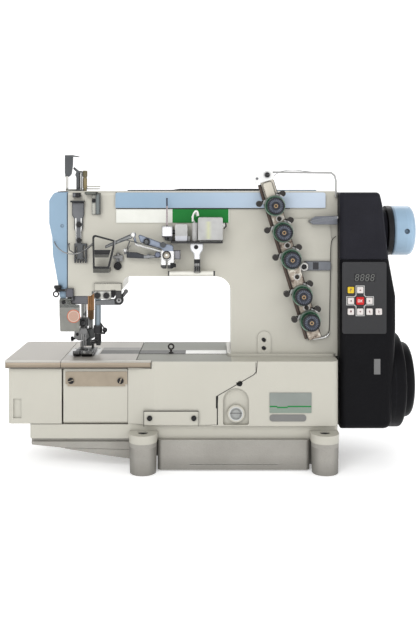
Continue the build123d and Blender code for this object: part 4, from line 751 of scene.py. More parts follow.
def label_fields(f):
    """Bare fields of the strip and the labels: white, green, silver with a stepped green line, grey."""
    grain = f.noise(900.0, 2.0)
    cloud = f.noise(26.0, 3.0)
    tone = f.mix(cloud, (0.62, 0.62, 0.57), (0.78, 0.79, 0.74))
    tone = f.mix(f.inside(x=(-84.8, -6.4), z=(300, None)), tone, shade(tuple(settings().green), 0.85))
    tone = f.mix(f.inside(z=(None, 120)), tone, f.mix(cloud, (0.20, 0.22, 0.205), (0.27, 0.295, 0.275)))
    tone = f.mix(f.inside(z=(None, 84.6)), tone, (0.22, 0.27, 0.23))
    for x0, x1, z in ((46.0, 58.6, 87.5), (58.2, 72.8, 86.2), (72.4, 104.5, 87.5)):
        tone = f.mix(f.inside(x=(x0, x1), z=(z - 1.0, z + 1.0)), tone, (0.02, 0.20, 0.05))
    tone = f.mix(f.inside(z=(None, 78.6)), tone, (0.19, 0.19, 0.185))
    tone = f.mix(f.inside(x=(190, None)), tone, (0.15, 0.15, 0.15))
    # Painted shade where parts meet
    tone = f.occlusion_shade(tone, (0.10, 0.10, 0.09), 0.002, 0.6)
    f.set(Base_Color=tone, Metallic=f.inside(z=(None, 120)) * 0.3, Specular_IOR_Level=0.2)
    f.set(Roughness=grain * 0.12 + 0.3, Normal=f.bump(grain, 0.00005, 0.3))


def plain(scale, low, high, rough, rise=0.1, detail=2.0, relief=0.0, **inputs):
    """Plain surface between two tones, whose roughness and relief follow the same noise."""
    def build(f):
        grain = f.noise(scale, detail)
        f.set(Base_Color=f.mix(grain, low, high), Roughness=grain * rise + rough, **inputs)
        if relief:
            f.set(Normal=f.bump(grain, relief, 0.4))
    return build


def key_cap(colour):
    """Film or ink of one key."""
    return plain(1600.0, shade(colour, 0.85), shade(colour, 1.05), 0.35, 0.15,
                 relief=0.00006, Specular_IOR_Level=0.3)


def glow(colour, strength):
    """Faintly lit segment of the display."""
    def build(f):
        flicker = f.noise(2500.0, 1.0)
        f.set(Base_Color=f.mix(flicker, shade(colour, 0.8), colour), Roughness=0.4)
        f.set(Emission_Color=f.mix(flicker, shade(colour, 0.9), colour), Emission_Strength=strength)
    return build


def round_label(f):
    """Bare round label: pale field in a salmon ring."""
    near = f.away(-222.6, 204.0)
    grain = f.noise(700.0, 2.0)
    tone = f.mix(grain, (0.40, 0.25, 0.19), (0.52, 0.34, 0.27))
    tone = f.mix(near > 7.9, tone, (0.46, 0.13, 0.07))
    tone = f.mix((near > 6.9) * (near < 7.9), tone, (0.55, 0.48, 0.42))
    f.set(Base_Color=tone, Roughness=grain * 0.1 + 0.4, Specular_IOR_Level=0.3)


def wheel_enamel(f):
    """Blue enamel with fine turned grooves round the wheel darkened as painted shade, a rim lightened as
    rubbed enamel with a painted highlight, and painted shade where parts meet.
    """
    blue = tuple(settings().blue)
    x = f.axes()[0]
    grooves = (x * 4200.0).sine()
    cloud = f.noise(25.0, 3.0)
    # Painted shade in the turned grooves
    left = f.inside(x=(None, 247)) * ((grooves > 0.55) * 0.35)
    tone = f.mix(cloud, shade(blue, 1.10), shade(blue, 1.32))
    tone = f.mix(left, tone, shade(blue, 0.62))
    tone = f.mix(f.inside(x=(None, 231.4)), tone, shade(blue, 0.75))
    tone = f.edge_light_and_wear(tone, (0.6, 0.7, 0.8), 0.6)
    tone = f.occlusion_shade(tone, shade(blue, 0.25), 0.004, 0.9)
    f.set(Base_Color=tone, Roughness=cloud * 0.12 + 0.3, Coat_Weight=0.3, Coat_Roughness=0.2)
    f.set(Normal=f.bump(grooves * left, 0.0002, 0.5))


def gauge_glass(f):
    """Grey glass of the oil gauge, banded like a lens in its painted rim."""
    z = f.axes()[2]
    r = f.away(3.0, 77.0)
    haze = f.noise(90.0, 3.0)
    inner = r < 9.4
    band = (abs(z * 1000.0 - 77.6) < 0.8) * (r < 8.4)
    tone = f.mix(inner, shade(tuple(settings().cream), 0.95), (0.20, 0.205, 0.20))
    tone = f.mix(inner * haze * 0.8, tone, (0.40, 0.41, 0.40))
    tone = f.mix(band * 0.7, tone, (0.07, 0.07, 0.07))
    tone = f.mix((abs(r - 8.8) < 0.6) * 0.6, tone, (0.62, 0.63, 0.62))
    f.set(Base_Color=tone, Roughness=haze * 0.2 + 0.12, Coat_Weight=inner * 0.6, Specular_IOR_Level=0.4)


FINISHES = {
    "cast enamel": cast_paint,
    "bare casting": cast_aluminium,
    "blue enamel": blue_paint,
    "polished plate": polished_plate,
    "black oxide": black_oxide,
    "housing black": wrinkle_black,
    "panel film": panel_film,
    "white enamel": white_enamel,
    "clear plastic": clear_plastic,
    "guard plastic": guard_plastic,
    "label fields": label_fields,
    "white key": key_cap((0.66, 0.62, 0.60)),
    "yellow key": key_cap((0.66, 0.46, 0.02)),
    "red key": key_cap((0.52, 0.015, 0.015)),
    "white ink": key_cap((0.75, 0.70, 0.68)),
    "key ink": key_cap((0.16, 0.08, 0.08)),
    "digit": glow((0.17, 0.175, 0.16), 0.04),
    "display glass": plain(400.0, (0.016, 0.016, 0.018), (0.026, 0.026, 0.028), 0.2, Specular_IOR_Level=0.3),
    "panel ink": plain(1800.0, (0.34, 0.34, 0.33), (0.48, 0.48, 0.47), 0.45),
    "seam": plain(1200.0, (0.008, 0.008, 0.008), (0.02, 0.02, 0.02), 0.7, Specular_IOR_Level=0.2),
    "gauge": gauge_glass,
    "studio floor": plain(3.0, (0.95, 0.95, 0.95), (0.98, 0.98, 0.98), 0.6, detail=3.0,
                          Emission_Color=(1.0, 1.0, 1.0), Emission_Strength=0.30),
    "round label": round_label,
    "wheel enamel": wheel_enamel,
    "copper": metal((0.27, 0.165, 0.085), 0.45, 0.6),
    "rail": metal((0.20, 0.21, 0.24), 0.34, 0.5),
    **METALS,
}


def finish(name):
    """The finish of that name, made the first time it is asked for."""
    if name not in Finish.made:
        made = Finish(name)
        FINISHES[name](made)
        Finish.made[name] = made
    return Finish.made[name].material


# Pieces

def place(piece, look, slot, body="frame"):
    """Give a new piece its finish and the body that it rides on. The slot is not used."""
    piece.data.materials.clear()
    piece.data.materials.append(finish(look))
    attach(piece, body)
    return piece


def wire(name, points, radius, look, slot, body="frame"):
    """Round wire through points in millimetres, with smooth bends."""
    curve = bpy.data.curves.new(name, "CURVE")
    curve.dimensions = "3D"
    curve.bevel_depth = radius * MM
    curve.bevel_resolution = 3
    curve.resolution_u = 8
    curve.use_fill_caps = True
    spline = curve.splines.new("NURBS")
    spline.points.add(len(points) - 1)
    for point, co in zip(spline.points, points):
        point.co = (co[0] * MM, co[1] * MM, co[2] * MM, 1.0)
    spline.order_u = 3
    spline.use_endpoint_u = True
    piece = bpy.data.objects.new(name, curve)
    bpy.context.scene.collection.objects.link(piece)
    return place(piece, look, slot, body)


def mesh_piece(name, bm, look, slot, body="frame", bevel=0.0, smooth=True):
    """Object of a bmesh in millimetres, with an edge bevel if asked."""
    bmesh.ops.scale(bm, vec=(MM, MM, MM), verts=bm.verts)
    bmesh.ops.recalc_face_normals(bm, faces=bm.faces)
    data = bpy.data.meshes.new(name)
    bm.to_mesh(data)
    bm.free()
    piece = bpy.data.objects.new(name, data)
    bpy.context.scene.collection.objects.link(piece)
    if smooth:
        data.shade_smooth()
        data.set_sharp_from_angle(angle=PIECE_CREASE)
    if bevel:
        edge = piece.modifiers.new("edge", "BEVEL")
        edge.width = bevel * MM
        edge.segments = 2
        edge.limit_method = "ANGLE"
    return place(piece, look, slot, body)


def rounded(corners, steps=5):
    """Points of an outline whose (u, v, radius) corners are rounded."""
    points = []
    count = len(corners)
    for i, (u, v, r) in enumerate(corners):
        here = Vector((u, v))
        if r <= 0:
            points.append(here)
            continue
        before = (Vector(corners[i - 1][:2]) - here).normalized()
        after = (Vector(corners[(i + 1) % count][:2]) - here).normalized()
        half = before.angle(after) / 2
        middle = here + (before + after).normalized() * (r / math.sin(half))
        start = here + before * (r / math.tan(half)) - middle
        end = here + after * (r / math.tan(half)) - middle
        for k in range(steps + 1):
            step = start.lerp(end, k / steps).normalized() * r
            points.append(middle + step)
    return points


def slab(bm, corners, y0, y1):
    """Add an XZ outline extruded from y0 to y1."""
    points = rounded(corners)
    near = [bm.verts.new((p.x, y0, p.y)) for p in points]
    far = [bm.verts.new((p.x, y1, p.y)) for p in points]
    bm.faces.new(near)
    bm.faces.new(far)
    for i in range(len(points)):
        j = (i + 1) % len(points)
        bm.faces.new((near[i], near[j], far[j], far[i]))
    return bm


def lathe(bm, origin, axis, outline, segments=36, hollow=False):
    """Add a turned form of (radius, distance along the axis) points, closed on itself if hollow."""
    turn = Vector((0, 0, 1)).rotation_difference(Vector(axis)).to_matrix()
    rings = []
    for radius, along in outline:
        ring = []
        for k in range(segments):
            a = 2 * math.pi * k / segments
            local = Vector((radius * math.cos(a), radius * math.sin(a), along))
            ring.append(bm.verts.new(Vector(origin) + turn @ local))
        rings.append(ring)
    for low, high in zip(rings, rings[1:] + (rings[:1] if hollow else [])):
        for k in range(segments):
            n = (k + 1) % segments
            bm.faces.new((low[k], low[n], high[n], high[k]))
    if not hollow:
        bm.faces.new(rings[0])
        bm.faces.new(rings[-1])
    return bm


def slotted(bm, x, y, z, radius, height=1.6, angle=35.0):
    """Add a slotted pan screw head that faces the front and stands on y."""
    lathe(bm, (x, y, z), (0, -1, 0), [(radius, 0), (radius, height * 0.5)], 28)
    half = radius * 0.17
    turn = math.radians(angle)
    count = 13
    for side in (1, -1):
        rings = []
        for reach, rise in ((1.0, 0.5), (1.0, 0.75), (0.84, 1.0)):
            r = radius * reach
            first = math.asin(half / r)
            ring = []
            for k in range(count):
                a = first + (math.pi - 2 * first) * k / (count - 1)
                u, w = r * math.cos(a), r * math.sin(a) * side
                right = u * math.cos(turn) - w * math.sin(turn)
                up = u * math.sin(turn) + w * math.cos(turn)
                ring.append(bm.verts.new((x + right, y - height * rise, z + up)))
            rings.append(ring)
        for low, high in zip(rings, rings[1:]):
            for k in range(count):
                n = (k + 1) % count
                bm.faces.new((low[k], low[n], high[n], high[k]))
        bm.faces.new(rings[0])
        bm.faces.new(rings[-1])
    return bm


def strip(bm, start, end, width, y, thickness=0.25):
    """Add a thin flat line from one (x, z) point to another, its back on y."""
    a, b = Vector(start), Vector(end)
    side = (b - a).normalized().orthogonal() * width / 2
    corners = [a - side, b - side, b + side, a + side]
    return slab(bm, [(c.x, c.y, 0) for c in corners], y - thickness, y)


def coil_points(centre, radius, start, end, turns, per_turn=10):
    """Points of a spring along Y, round a centre in X and Z."""
    x, z = centre
    count = int(turns * per_turn)
    points = []
    for k in range(count + 1):
        a = 2 * math.pi * k / per_turn
        points.append((x + radius * math.cos(a), start + (end - start) * k / count, z + radius * math.sin(a)))
    return points


def spring_points(foot, radius, turn, rise, count):
    """Points of an upright spring that starts round its foot and turns and rises from each to the next."""
    x, y, z = foot
    angles = [turn * k for k in range(count)]
    return [(x + radius * math.cos(a), y + radius * math.sin(a), z + rise * k) for k, a in enumerate(angles)]


def paint(look, *nodes):
    """Give CAD nodes a finish and smooth shading over their round faces."""
    for name in nodes:
        node = frame["nodes"][name]
        node.data.materials.clear()
        node.data.materials.append(finish(look))
        node.data.shade_smooth()
        node.data.set_sharp_from_angle(angle=SOLID_CREASE)


def station(number):
    """Centre of a tension station in X and Z, in millimetres."""
    for joint in frame["joints"]:
        if joint["name"] == f"tension_knob_{number}_turn":
            x, _, z = joint["pos_m"]
            return x / MM, z / MM
    raise RuntimeError(f"no joint for tension knob {number}")


def middle(node):
    """Middle of a node's box in millimetres, with its lowest and highest corner."""
    low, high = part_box(node)
    return (low + high) / 2 / MM, low / MM, high / MM


# Sizes and colours

class CoverstitchSettings(bpy.types.PropertyGroup):
    """Colours and sizes that a user would change."""

    cream: FloatVectorProperty(
        name="Cream", description="Enamel of the castings",
        subtype="COLOR", default=(0.475, 0.460, 0.400), min=0, max=1,
    )
    blue: FloatVectorProperty(
        name="Blue", description="Enamel of the covers and the handwheel",
        subtype="COLOR", default=(0.235, 0.345, 0.455), min=0, max=1,
    )
    black: FloatVectorProperty(
        name="Black", description="Paint of the motor housing",
        subtype="COLOR", default=(0.0045, 0.0045, 0.006), min=0, max=1,
    )
    green: FloatVectorProperty(
        name="Green", description="Green field of the name strip",
        subtype="COLOR", default=(0.012, 0.20, 0.035), min=0, max=1,
    )
    plate: FloatVectorProperty(
        name="Plate", description="Warm steel of the cloth plate",
        subtype="COLOR", default=(0.40, 0.375, 0.335), min=0, max=1,
    )
    spring_wire: FloatProperty(
        name="Spring wire", description="Radius of the tension springs' wire, in millimetres",
        default=0.55, min=0.2, max=1.0,
    )
    spring_turns: IntProperty(
        name="Spring turns", description="Turns of each tension spring",
        default=5, min=3, max=9,
    )
    camera_distance: FloatProperty(
        name="Camera distance", description="From the bed's front edge to the camera",
        subtype="DISTANCE", default=1.150, min=0.5, max=5,
    )
    camera_height: FloatProperty(
        name="Camera height", description="Camera above the floor",
        subtype="DISTANCE", default=0.376, min=0.1, max=2,
    )
    key_light: FloatProperty(
        name="Key light", description="Strength of the main soft light, in watts",
        default=21.0, min=0.0, max=500.0,
    )
    world_light: FloatProperty(
        name="World light", description="Strength of the even light all round",
        default=0.70, min=0.0, max=5.0,
    )


class PieceOperator:
    """Shared base: an operator that dresses one group of pieces."""

    bl_options = {"REGISTER", "UNDO"}

    def execute(self, context):
        self.dress(context)
        return {"FINISHED"}


class COVERSTITCH_OT_castings(PieceOperator, bpy.types.Operator):
    """Enamel the castings and their covers, finish the reservoir, and add seams and small screws"""

    bl_idname = "coverstitch.castings"
    bl_label = "Castings"

    def dress(self, context):
        paint("cast enamel", "bed_casting", "arm_casting", "bed_front_plate",
              "inspection_cover", "front_cover", "side_cover", "column_cover")
        paint("bare casting", "oil_reservoir", "machine_feet")
        paint("black oxide", "fixing_screws", "cover_hinges")
        paint("gauge", "oil_gauge")
        paint("label fields", "blank_plates")
        self.screws()
        self.seams()
        self.pan_tail()
        self.rear_seal()

    def screws(self):
        """Blackened screws of the column cover and of the plate on the front cover."""
        bm = bmesh.new()
        for z in (171.4, 159.6):
            slotted(bm, 42.4, -36.9, z, 2.6, 0.9)
        mesh_piece("column_screws", bm, "black oxide", "black_screw")
        bm = bmesh.new()
        for x, angle in ((-221.3, 20), (-153.9, 70)):
            slotted(bm, x, -70.3, 120.9, 4.3, 0.9, angle)
        mesh_piece("cover_plate_screws", bm, "black oxide", "black_screw", "front_cover")

    def seams(self):
        """Dark gaps at the bed's knee, and the lines round the inspection cover."""
        bed_face, cover_face = -75.5, -77.4
        near, far = -75.75, -75.4
        bm = bmesh.new()
        slab(bm, [(-24.3, 84.8, 0.8), (-22.0, 84.8, 0.8), (-21.2, 101.6, 0.6), (-24.2, 101.6, 1.0)],
             near, far)
        slab(bm, [(3.0, 119.6, 0), (4.4, 115.4, 2.0), (9.6, 114.2, 2.4), (11.6, 117.6, 1.6),
                  (11.4, 120.8, 0)], near, far)
        for start, end in (((30.0, 147.0), (30.0, 133.6)), ((30.0, 134.2), (26.8, 130.2)),
                           ((27.2, 130.4), (-22.4, 101.6)), ((-22.6, 85.0), (-22.6, 62.4))):
            strip(bm, start, end, 0.8, bed_face)
        strip(bm, (-121.6, 81.4), (-48.0, 81.4), 0.9, cover_face)
        strip(bm, (-121.6, 60.4), (-121.6, 81.8), 0.7, cover_face)
        strip(bm, (-48.2, 60.8), (-48.2, 81.4), 0.5, cover_face)
        mesh_piece("bed_seams", bm, "seam", "black_screw", smooth=False)

    def pan_tail(self):
        """Rib and sloping web at the tail of the oil reservoir, with the joint line along them."""
        bm = bmesh.new()
        slab(bm, [(-232.0, 30.0, 0), (-232.0, 25.6, 0), (-183.2, 17.4, 0), (-137.6, 11.0, 2),
                  (-137.6, 30.0, 0)], -59.4, -58.3)
        slab(bm, [(-276.6, 36.0, 0), (-276.6, 31.6, 2), (-236.0, 27.4, 0), (-137.6, 24.9, 0),
                  (-137.6, 36.0, 0)], -61.4, -58.3)
        mesh_piece("pan_tail_web", bm, "bare casting", "bare_aluminium", bevel=0.4)
        bm = bmesh.new()
        strip(bm, (-236.0, 27.2), (-138.0, 24.7), 0.9, -59.6)
        mesh_piece("pan_tail_joint", bm, "seam", "black_plastic", smooth=False)

    def rear_seal(self):
        """Thin dark seal along the rear cover's edge, over the arm."""
        bm = bmesh.new()
        slab(bm, [(-85.5, 379.0, 0), (-85.5, 380.6, 0), (-76.0, 382.0, 0), (42.6, 382.0, 1),
                  (43.6, 379.0, 0)], -13.4, -11.8)
        slab(bm, [(-150.0, 379.0, 0), (-150.0, 380.0, 0), (-85.5, 380.6, 0), (-85.5, 379.0, 0)], -13.0, -11.8)
        mesh_piece("rear_cover_seal", bm, "seam", "black_plastic", smooth=False)


class COVERSTITCH_OT_blue_covers(PieceOperator, bpy.types.Operator):
    """Enamel the blue covers and add the dark seals along their edges"""

    bl_idname = "coverstitch.blue_covers"
    bl_label = "Blue covers"

    def dress(self, context):
        paint("blue enamel", "face_cover", "top_covers")
        top = middle("face_cover")[2].z
        bm = bmesh.new()
        waves = [(-246.5, top - 0.4), (-245.0, top + 1.2), (-243.2, top + 0.7), (-241.4, top + 1.5),
                 (-239.4, top + 0.9), (-237.6, top + 1.6), (-235.6, top + 1.0), (-234.4, top - 0.4)]
        slab(bm, [(x, z, 0) for x, z in waves], -34.0, 40.0)
        strip(bm, (-231.9, 238.0), (-231.9, top - 1.0), 0.9, -35.6)
        mesh_piece("face_cover_seal", bm, "seam", "black_plastic", smooth=False)
        self.band_lines()

    def band_lines(self):
        """Dark joint lines round the blue band on the arm's front."""
        left, right, low, top = -163.2, 79.0, 354.3, 377.0
        arm_face = -37.6
        bm = bmesh.new()
        strip(bm, (left, low), (right, low), 0.8, arm_face)
        strip(bm, (left, low), (left, top), 1.2, arm_face)
        strip(bm, (right, low), (right, top), 0.7, arm_face)
        mesh_piece("band_joint", bm, "seam", "black_plastic", smooth=False)


class COVERSTITCH_OT_plates(PieceOperator, bpy.types.Operator):
    """Polish the cloth plates, the needle plate and the strips"""

    bl_idname = "coverstitch.plates"
    bl_label = "Plates"

    def dress(self, context):
        paint("polished plate", "cloth_plate", "swing_plate")
        paint("machined steel", "needle_plate")
        paint("slide strips", "slide_strips")
        paint("tan plate", "front_cover_plate")


class COVERSTITCH_OT_drive(PieceOperator, bpy.types.Operator):
    """Paint the motor housing, finish the handwheel and add its set screw"""

    bl_idname = "coverstitch.drive"
    bl_label = "Drive"

    def dress(self, context):
        paint("housing black", "motor_housing", "motor_cover", "motor_end_cap")
        paint("wheel enamel", "handwheel")
        paint("black oxide", "upper_shaft")
        bm = bmesh.new()
        lathe(bm, (232.1, -20.6, 342.9), (0.05, -0.80, 0.60),
              [(3.0, -0.6), (3.0, 0.35), (2.4, 0.5), (1.6, 0.5), (1.3, -0.3)], 24)
        mesh_piece("handwheel_set_screw", bm, "black oxide", "black_screw", "handwheel")


class COVERSTITCH_OT_panel(PieceOperator, bpy.types.Operator):
    """Finish the control panel: film, keys and their symbols, printed outline and dim digits"""

    bl_idname = "coverstitch.panel"
    bl_label = "Control panel"

    def dress(self, context):
        paint("panel film", "control_panel")
        paint("yellow key", "key_program")
        paint("red key", "key_enter")
        paint("white key", "key_up", "key_left", "key_right", "key_light", "key_down", "key_speed",
              "key_needle")
        self.cross_band()
        self.digits()
        self.symbols()

    def cross_band(self):
        """Pale printed line round the cross of keys."""
        centre = middle("key_enter")[0]
        dx = middle("key_right")[0].x - centre.x
        dz = middle("key_up")[0].z - centre.z
        face = middle("control_panel")[1].y
        bm = bmesh.new()
        loops = []
        for grow in (0.0, 1.1):
            arm = 5.0 + grow
            notch = 7.4 + grow * 0.6
            quarter = [(arm, dz + arm), (arm, notch), (notch, arm), (dx + arm, arm)]
            points = list(quarter)
            points += [(x, -z) for x, z in reversed(quarter)]
            points += [(-x, z) for x, z in reversed(points)]
            loops.append([bm.verts.new((centre.x + x, face - 0.12, centre.z + z)) for x, z in points])
        count = len(loops[0])
        for i in range(count):
            j = (i + 1) % count
            bm.faces.new((loops[0][i], loops[0][j], loops[1][j], loops[1][i]))
        mesh_piece("panel_cross_band", bm, "panel ink", "white_plate", smooth=False)

    def digits(self):
        """Four dim seven-segment digits that lean to the right."""
        face = middle("control_panel")[1].y
        bm = bmesh.new()
        width, height, stroke, lean = 3.9, 8.4, 0.75, 0.16
        left, foot, pitch = 166.0, 256.2, 7.0
        half = stroke / 2
        bars = [
            (0, height, width, 0), (0, height / 2, width, 0), (0, 0, width, 0),
            (0, 0, 0, height / 2), (width, 0, 0, height / 2),
            (0, height / 2, 0, height / 2), (width, height / 2, 0, height / 2),
        ]
        for number in range(4):
            for x, z, across, up in bars:
                gap_x, gap_z = 0.5 if across else 0, 0.4 if up else 0
                x0, z0 = x + gap_x, z + gap_z
                x1, z1 = x + across - gap_x, z + up - gap_z
                if across:
                    shape = [(x0, z0 - half), (x1, z1 - half), (x1 + half, z1),
                             (x1, z1 + half), (x0, z0 + half), (x0 - half, z0)]
                else:
                    shape = [(x0 - half, z0 + half), (x0, z0), (x0 + half, z0 + half),
                             (x1 + half, z1 - half), (x1, z1), (x1 - half, z1 - half)]
                shift = left + number * pitch
                bm.faces.new([bm.verts.new((shift + u + w * lean, face + 0.9, foot + w)) for u, w in shape])
        mesh_piece("panel_digits", bm, "digit", "clear_plastic", smooth=False)
        bm = bmesh.new()
        slab(bm, [(164.5, 255.2, 0), (193.1, 255.2, 0), (193.1, 265.8, 0), (164.5, 265.8, 0)],
             face + 0.93, face + 0.98)
        mesh_piece("panel_display", bm, "display glass", "clear_plastic", smooth=False)

    def symbols(self):
        """Small printed symbols on the keys."""
        shapes = {
            "key_program": [[(-1.3, -2), (-0.5, -2), (-0.5, 2), (-1.3, 2)],
                            [(-0.5, 2), (1.3, 2), (1.3, 0), (-0.5, 0),
                             (-0.5, 0.6), (0.6, 0.6), (0.6, 1.4), (-0.5, 1.4)]],
            "key_up": [[(-1.4, -0.9), (1.4, -0.9), (0, 1.3)]],
            "key_down": [[(-1.4, 0.9), (0, -1.3), (1.4, 0.9)]],
            "key_left": [[(1.1, -1.5), (1.1, 1.5), (-1.3, 0)]],
            "key_right": [[(-1.1, -1.5), (1.3, 0), (-1.1, 1.5)]],
            "key_light": [[(-1.2, -0.6), (1.2, -0.6), (1.2, 1.4), (0.4, 2.1), (-0.4, 2.1), (-1.2, 1.4)],
                          [(-0.7, -1.8), (0.7, -1.8), (0.7, -1.1), (-0.7, -1.1)]],
            "key_speed": [[(-0.4, -2), (0.4, -2), (0.4, 0.2), (-0.4, 0.2)], [(-1.2, 0.2), (1.2, 0.2), (0, 2)],
                          [(0.9, -2), (1.6, -2), (1.6, -1), (0.9, -1)]],
            "key_needle": [[(-0.9, -2), (-0.3, -2), (-0.3, 2), (-0.9, 2)],
                           [(0.2, -2), (1.5, -2), (1.5, -1.2), (0.2, -1.2)],
                           [(0.2, 0.2), (1.5, 0.2), (1.5, 1), (0.2, 1)]],
            "key_enter": [[(-3.2, -1.8), (-0.5, -1.8), (-0.5, 1.8), (-3.2, 1.8), (-3.2, 1.1), (-1.2, 1.1),
                           (-1.2, -1.1), (-2.5, -1.1), (-2.5, 0.9), (-3.2, 0.9)],
                          [(0.4, -1.8), (1.1, -1.8), (1.1, 1.8), (0.4, 1.8)],
                          [(1.1, -0.2), (2.5, -1.8), (3.3, -1.8), (1.7, 0),
                           (3.3, 1.8), (2.5, 1.8), (1.1, 0.4)]],
        }
        for name, parts in shapes.items():
            centre, low, _ = middle(name)
            bm = bmesh.new()
            for part in parts:
                bm.faces.new([bm.verts.new((centre.x + u, low.y - 0.03, centre.z + w)) for u, w in part])
            ink = "white ink" if name == "key_enter" else "key ink"
            mesh_piece(f"{name}_symbol", bm, ink, "key_white", name, smooth=False)


class COVERSTITCH_OT_tension(PieceOperator, bpy.types.Operator):
    """Finish the tension unit, wind its springs, and add the wires and the rail over the column"""

    bl_idname = "coverstitch.tension"
    bl_label = "Tension unit"

    def dress(self, context):
        paint("tension post", "tension_post")
        paint("thread frame", "thread_frame")
        paint("stacks", "tension_stacks")
        paint("eyelets", "thread_eyelets")
        self.column_wires()
        for number in range(1, 6):
            x, z = station(number)
            knob = f"tension knob {number}"
            FINISHES[knob] = knob_face((x, z))
            paint(knob, f"tension_knob_{number}")
            points = coil_points((x, z), 6.4, -62.4, -56.2, settings().spring_turns)
            wire(f"tension_spring_{number}", points, settings().spring_wire, "bright steel", "steel")

    def column_wires(self):
        """Wavy wire of the thread frame, the column's seam and bent rod, and the plate of the side rail."""
        rise = [(54.0, -46, 397.4), (60.0, -46, 403.4), (68.9, -46, 406.9), (85.0, -46, 408.3),
                (101.1, -46, 405.6), (117.2, -46, 404.6), (131.0, -46, 403.4)]
        wire("thread_frame_wire", rise, 0.4, "grey steel", "steel")
        seam = [(143.6, -38.0, 315.6), (139.0, -38.0, 312.8), (136.0, -38.0, 305.0), (135.6, -38.0, 255.0),
                (134.4, -38.0, 190.0), (133.6, -38.2, 180.4), (130.0, -38.6, 176.0)]
        wire("column_seam", seam, 0.45, "seam", "black_plastic")
        rod = [(133.4, -39.6, 180.5), (130.4, -39.8, 175.4), (122.0, -39.8, 173.6), (106.6, -39.8, 171.7)]
        wire("column_rod", rod, 1.7, "bright steel", "steel")
        bm = bmesh.new()
        slab(bm, [(108.4, 332.2, 3.0), (107.8, 339.8, 3.0), (114.0, 343.4, 1.5), (145.2, 344.6, 0),
                  (145.2, 332.2, 0)], -45.0, -41.0)
        mesh_piece("side_rail_plate", bm, "rail", "steel", bevel=0.8)


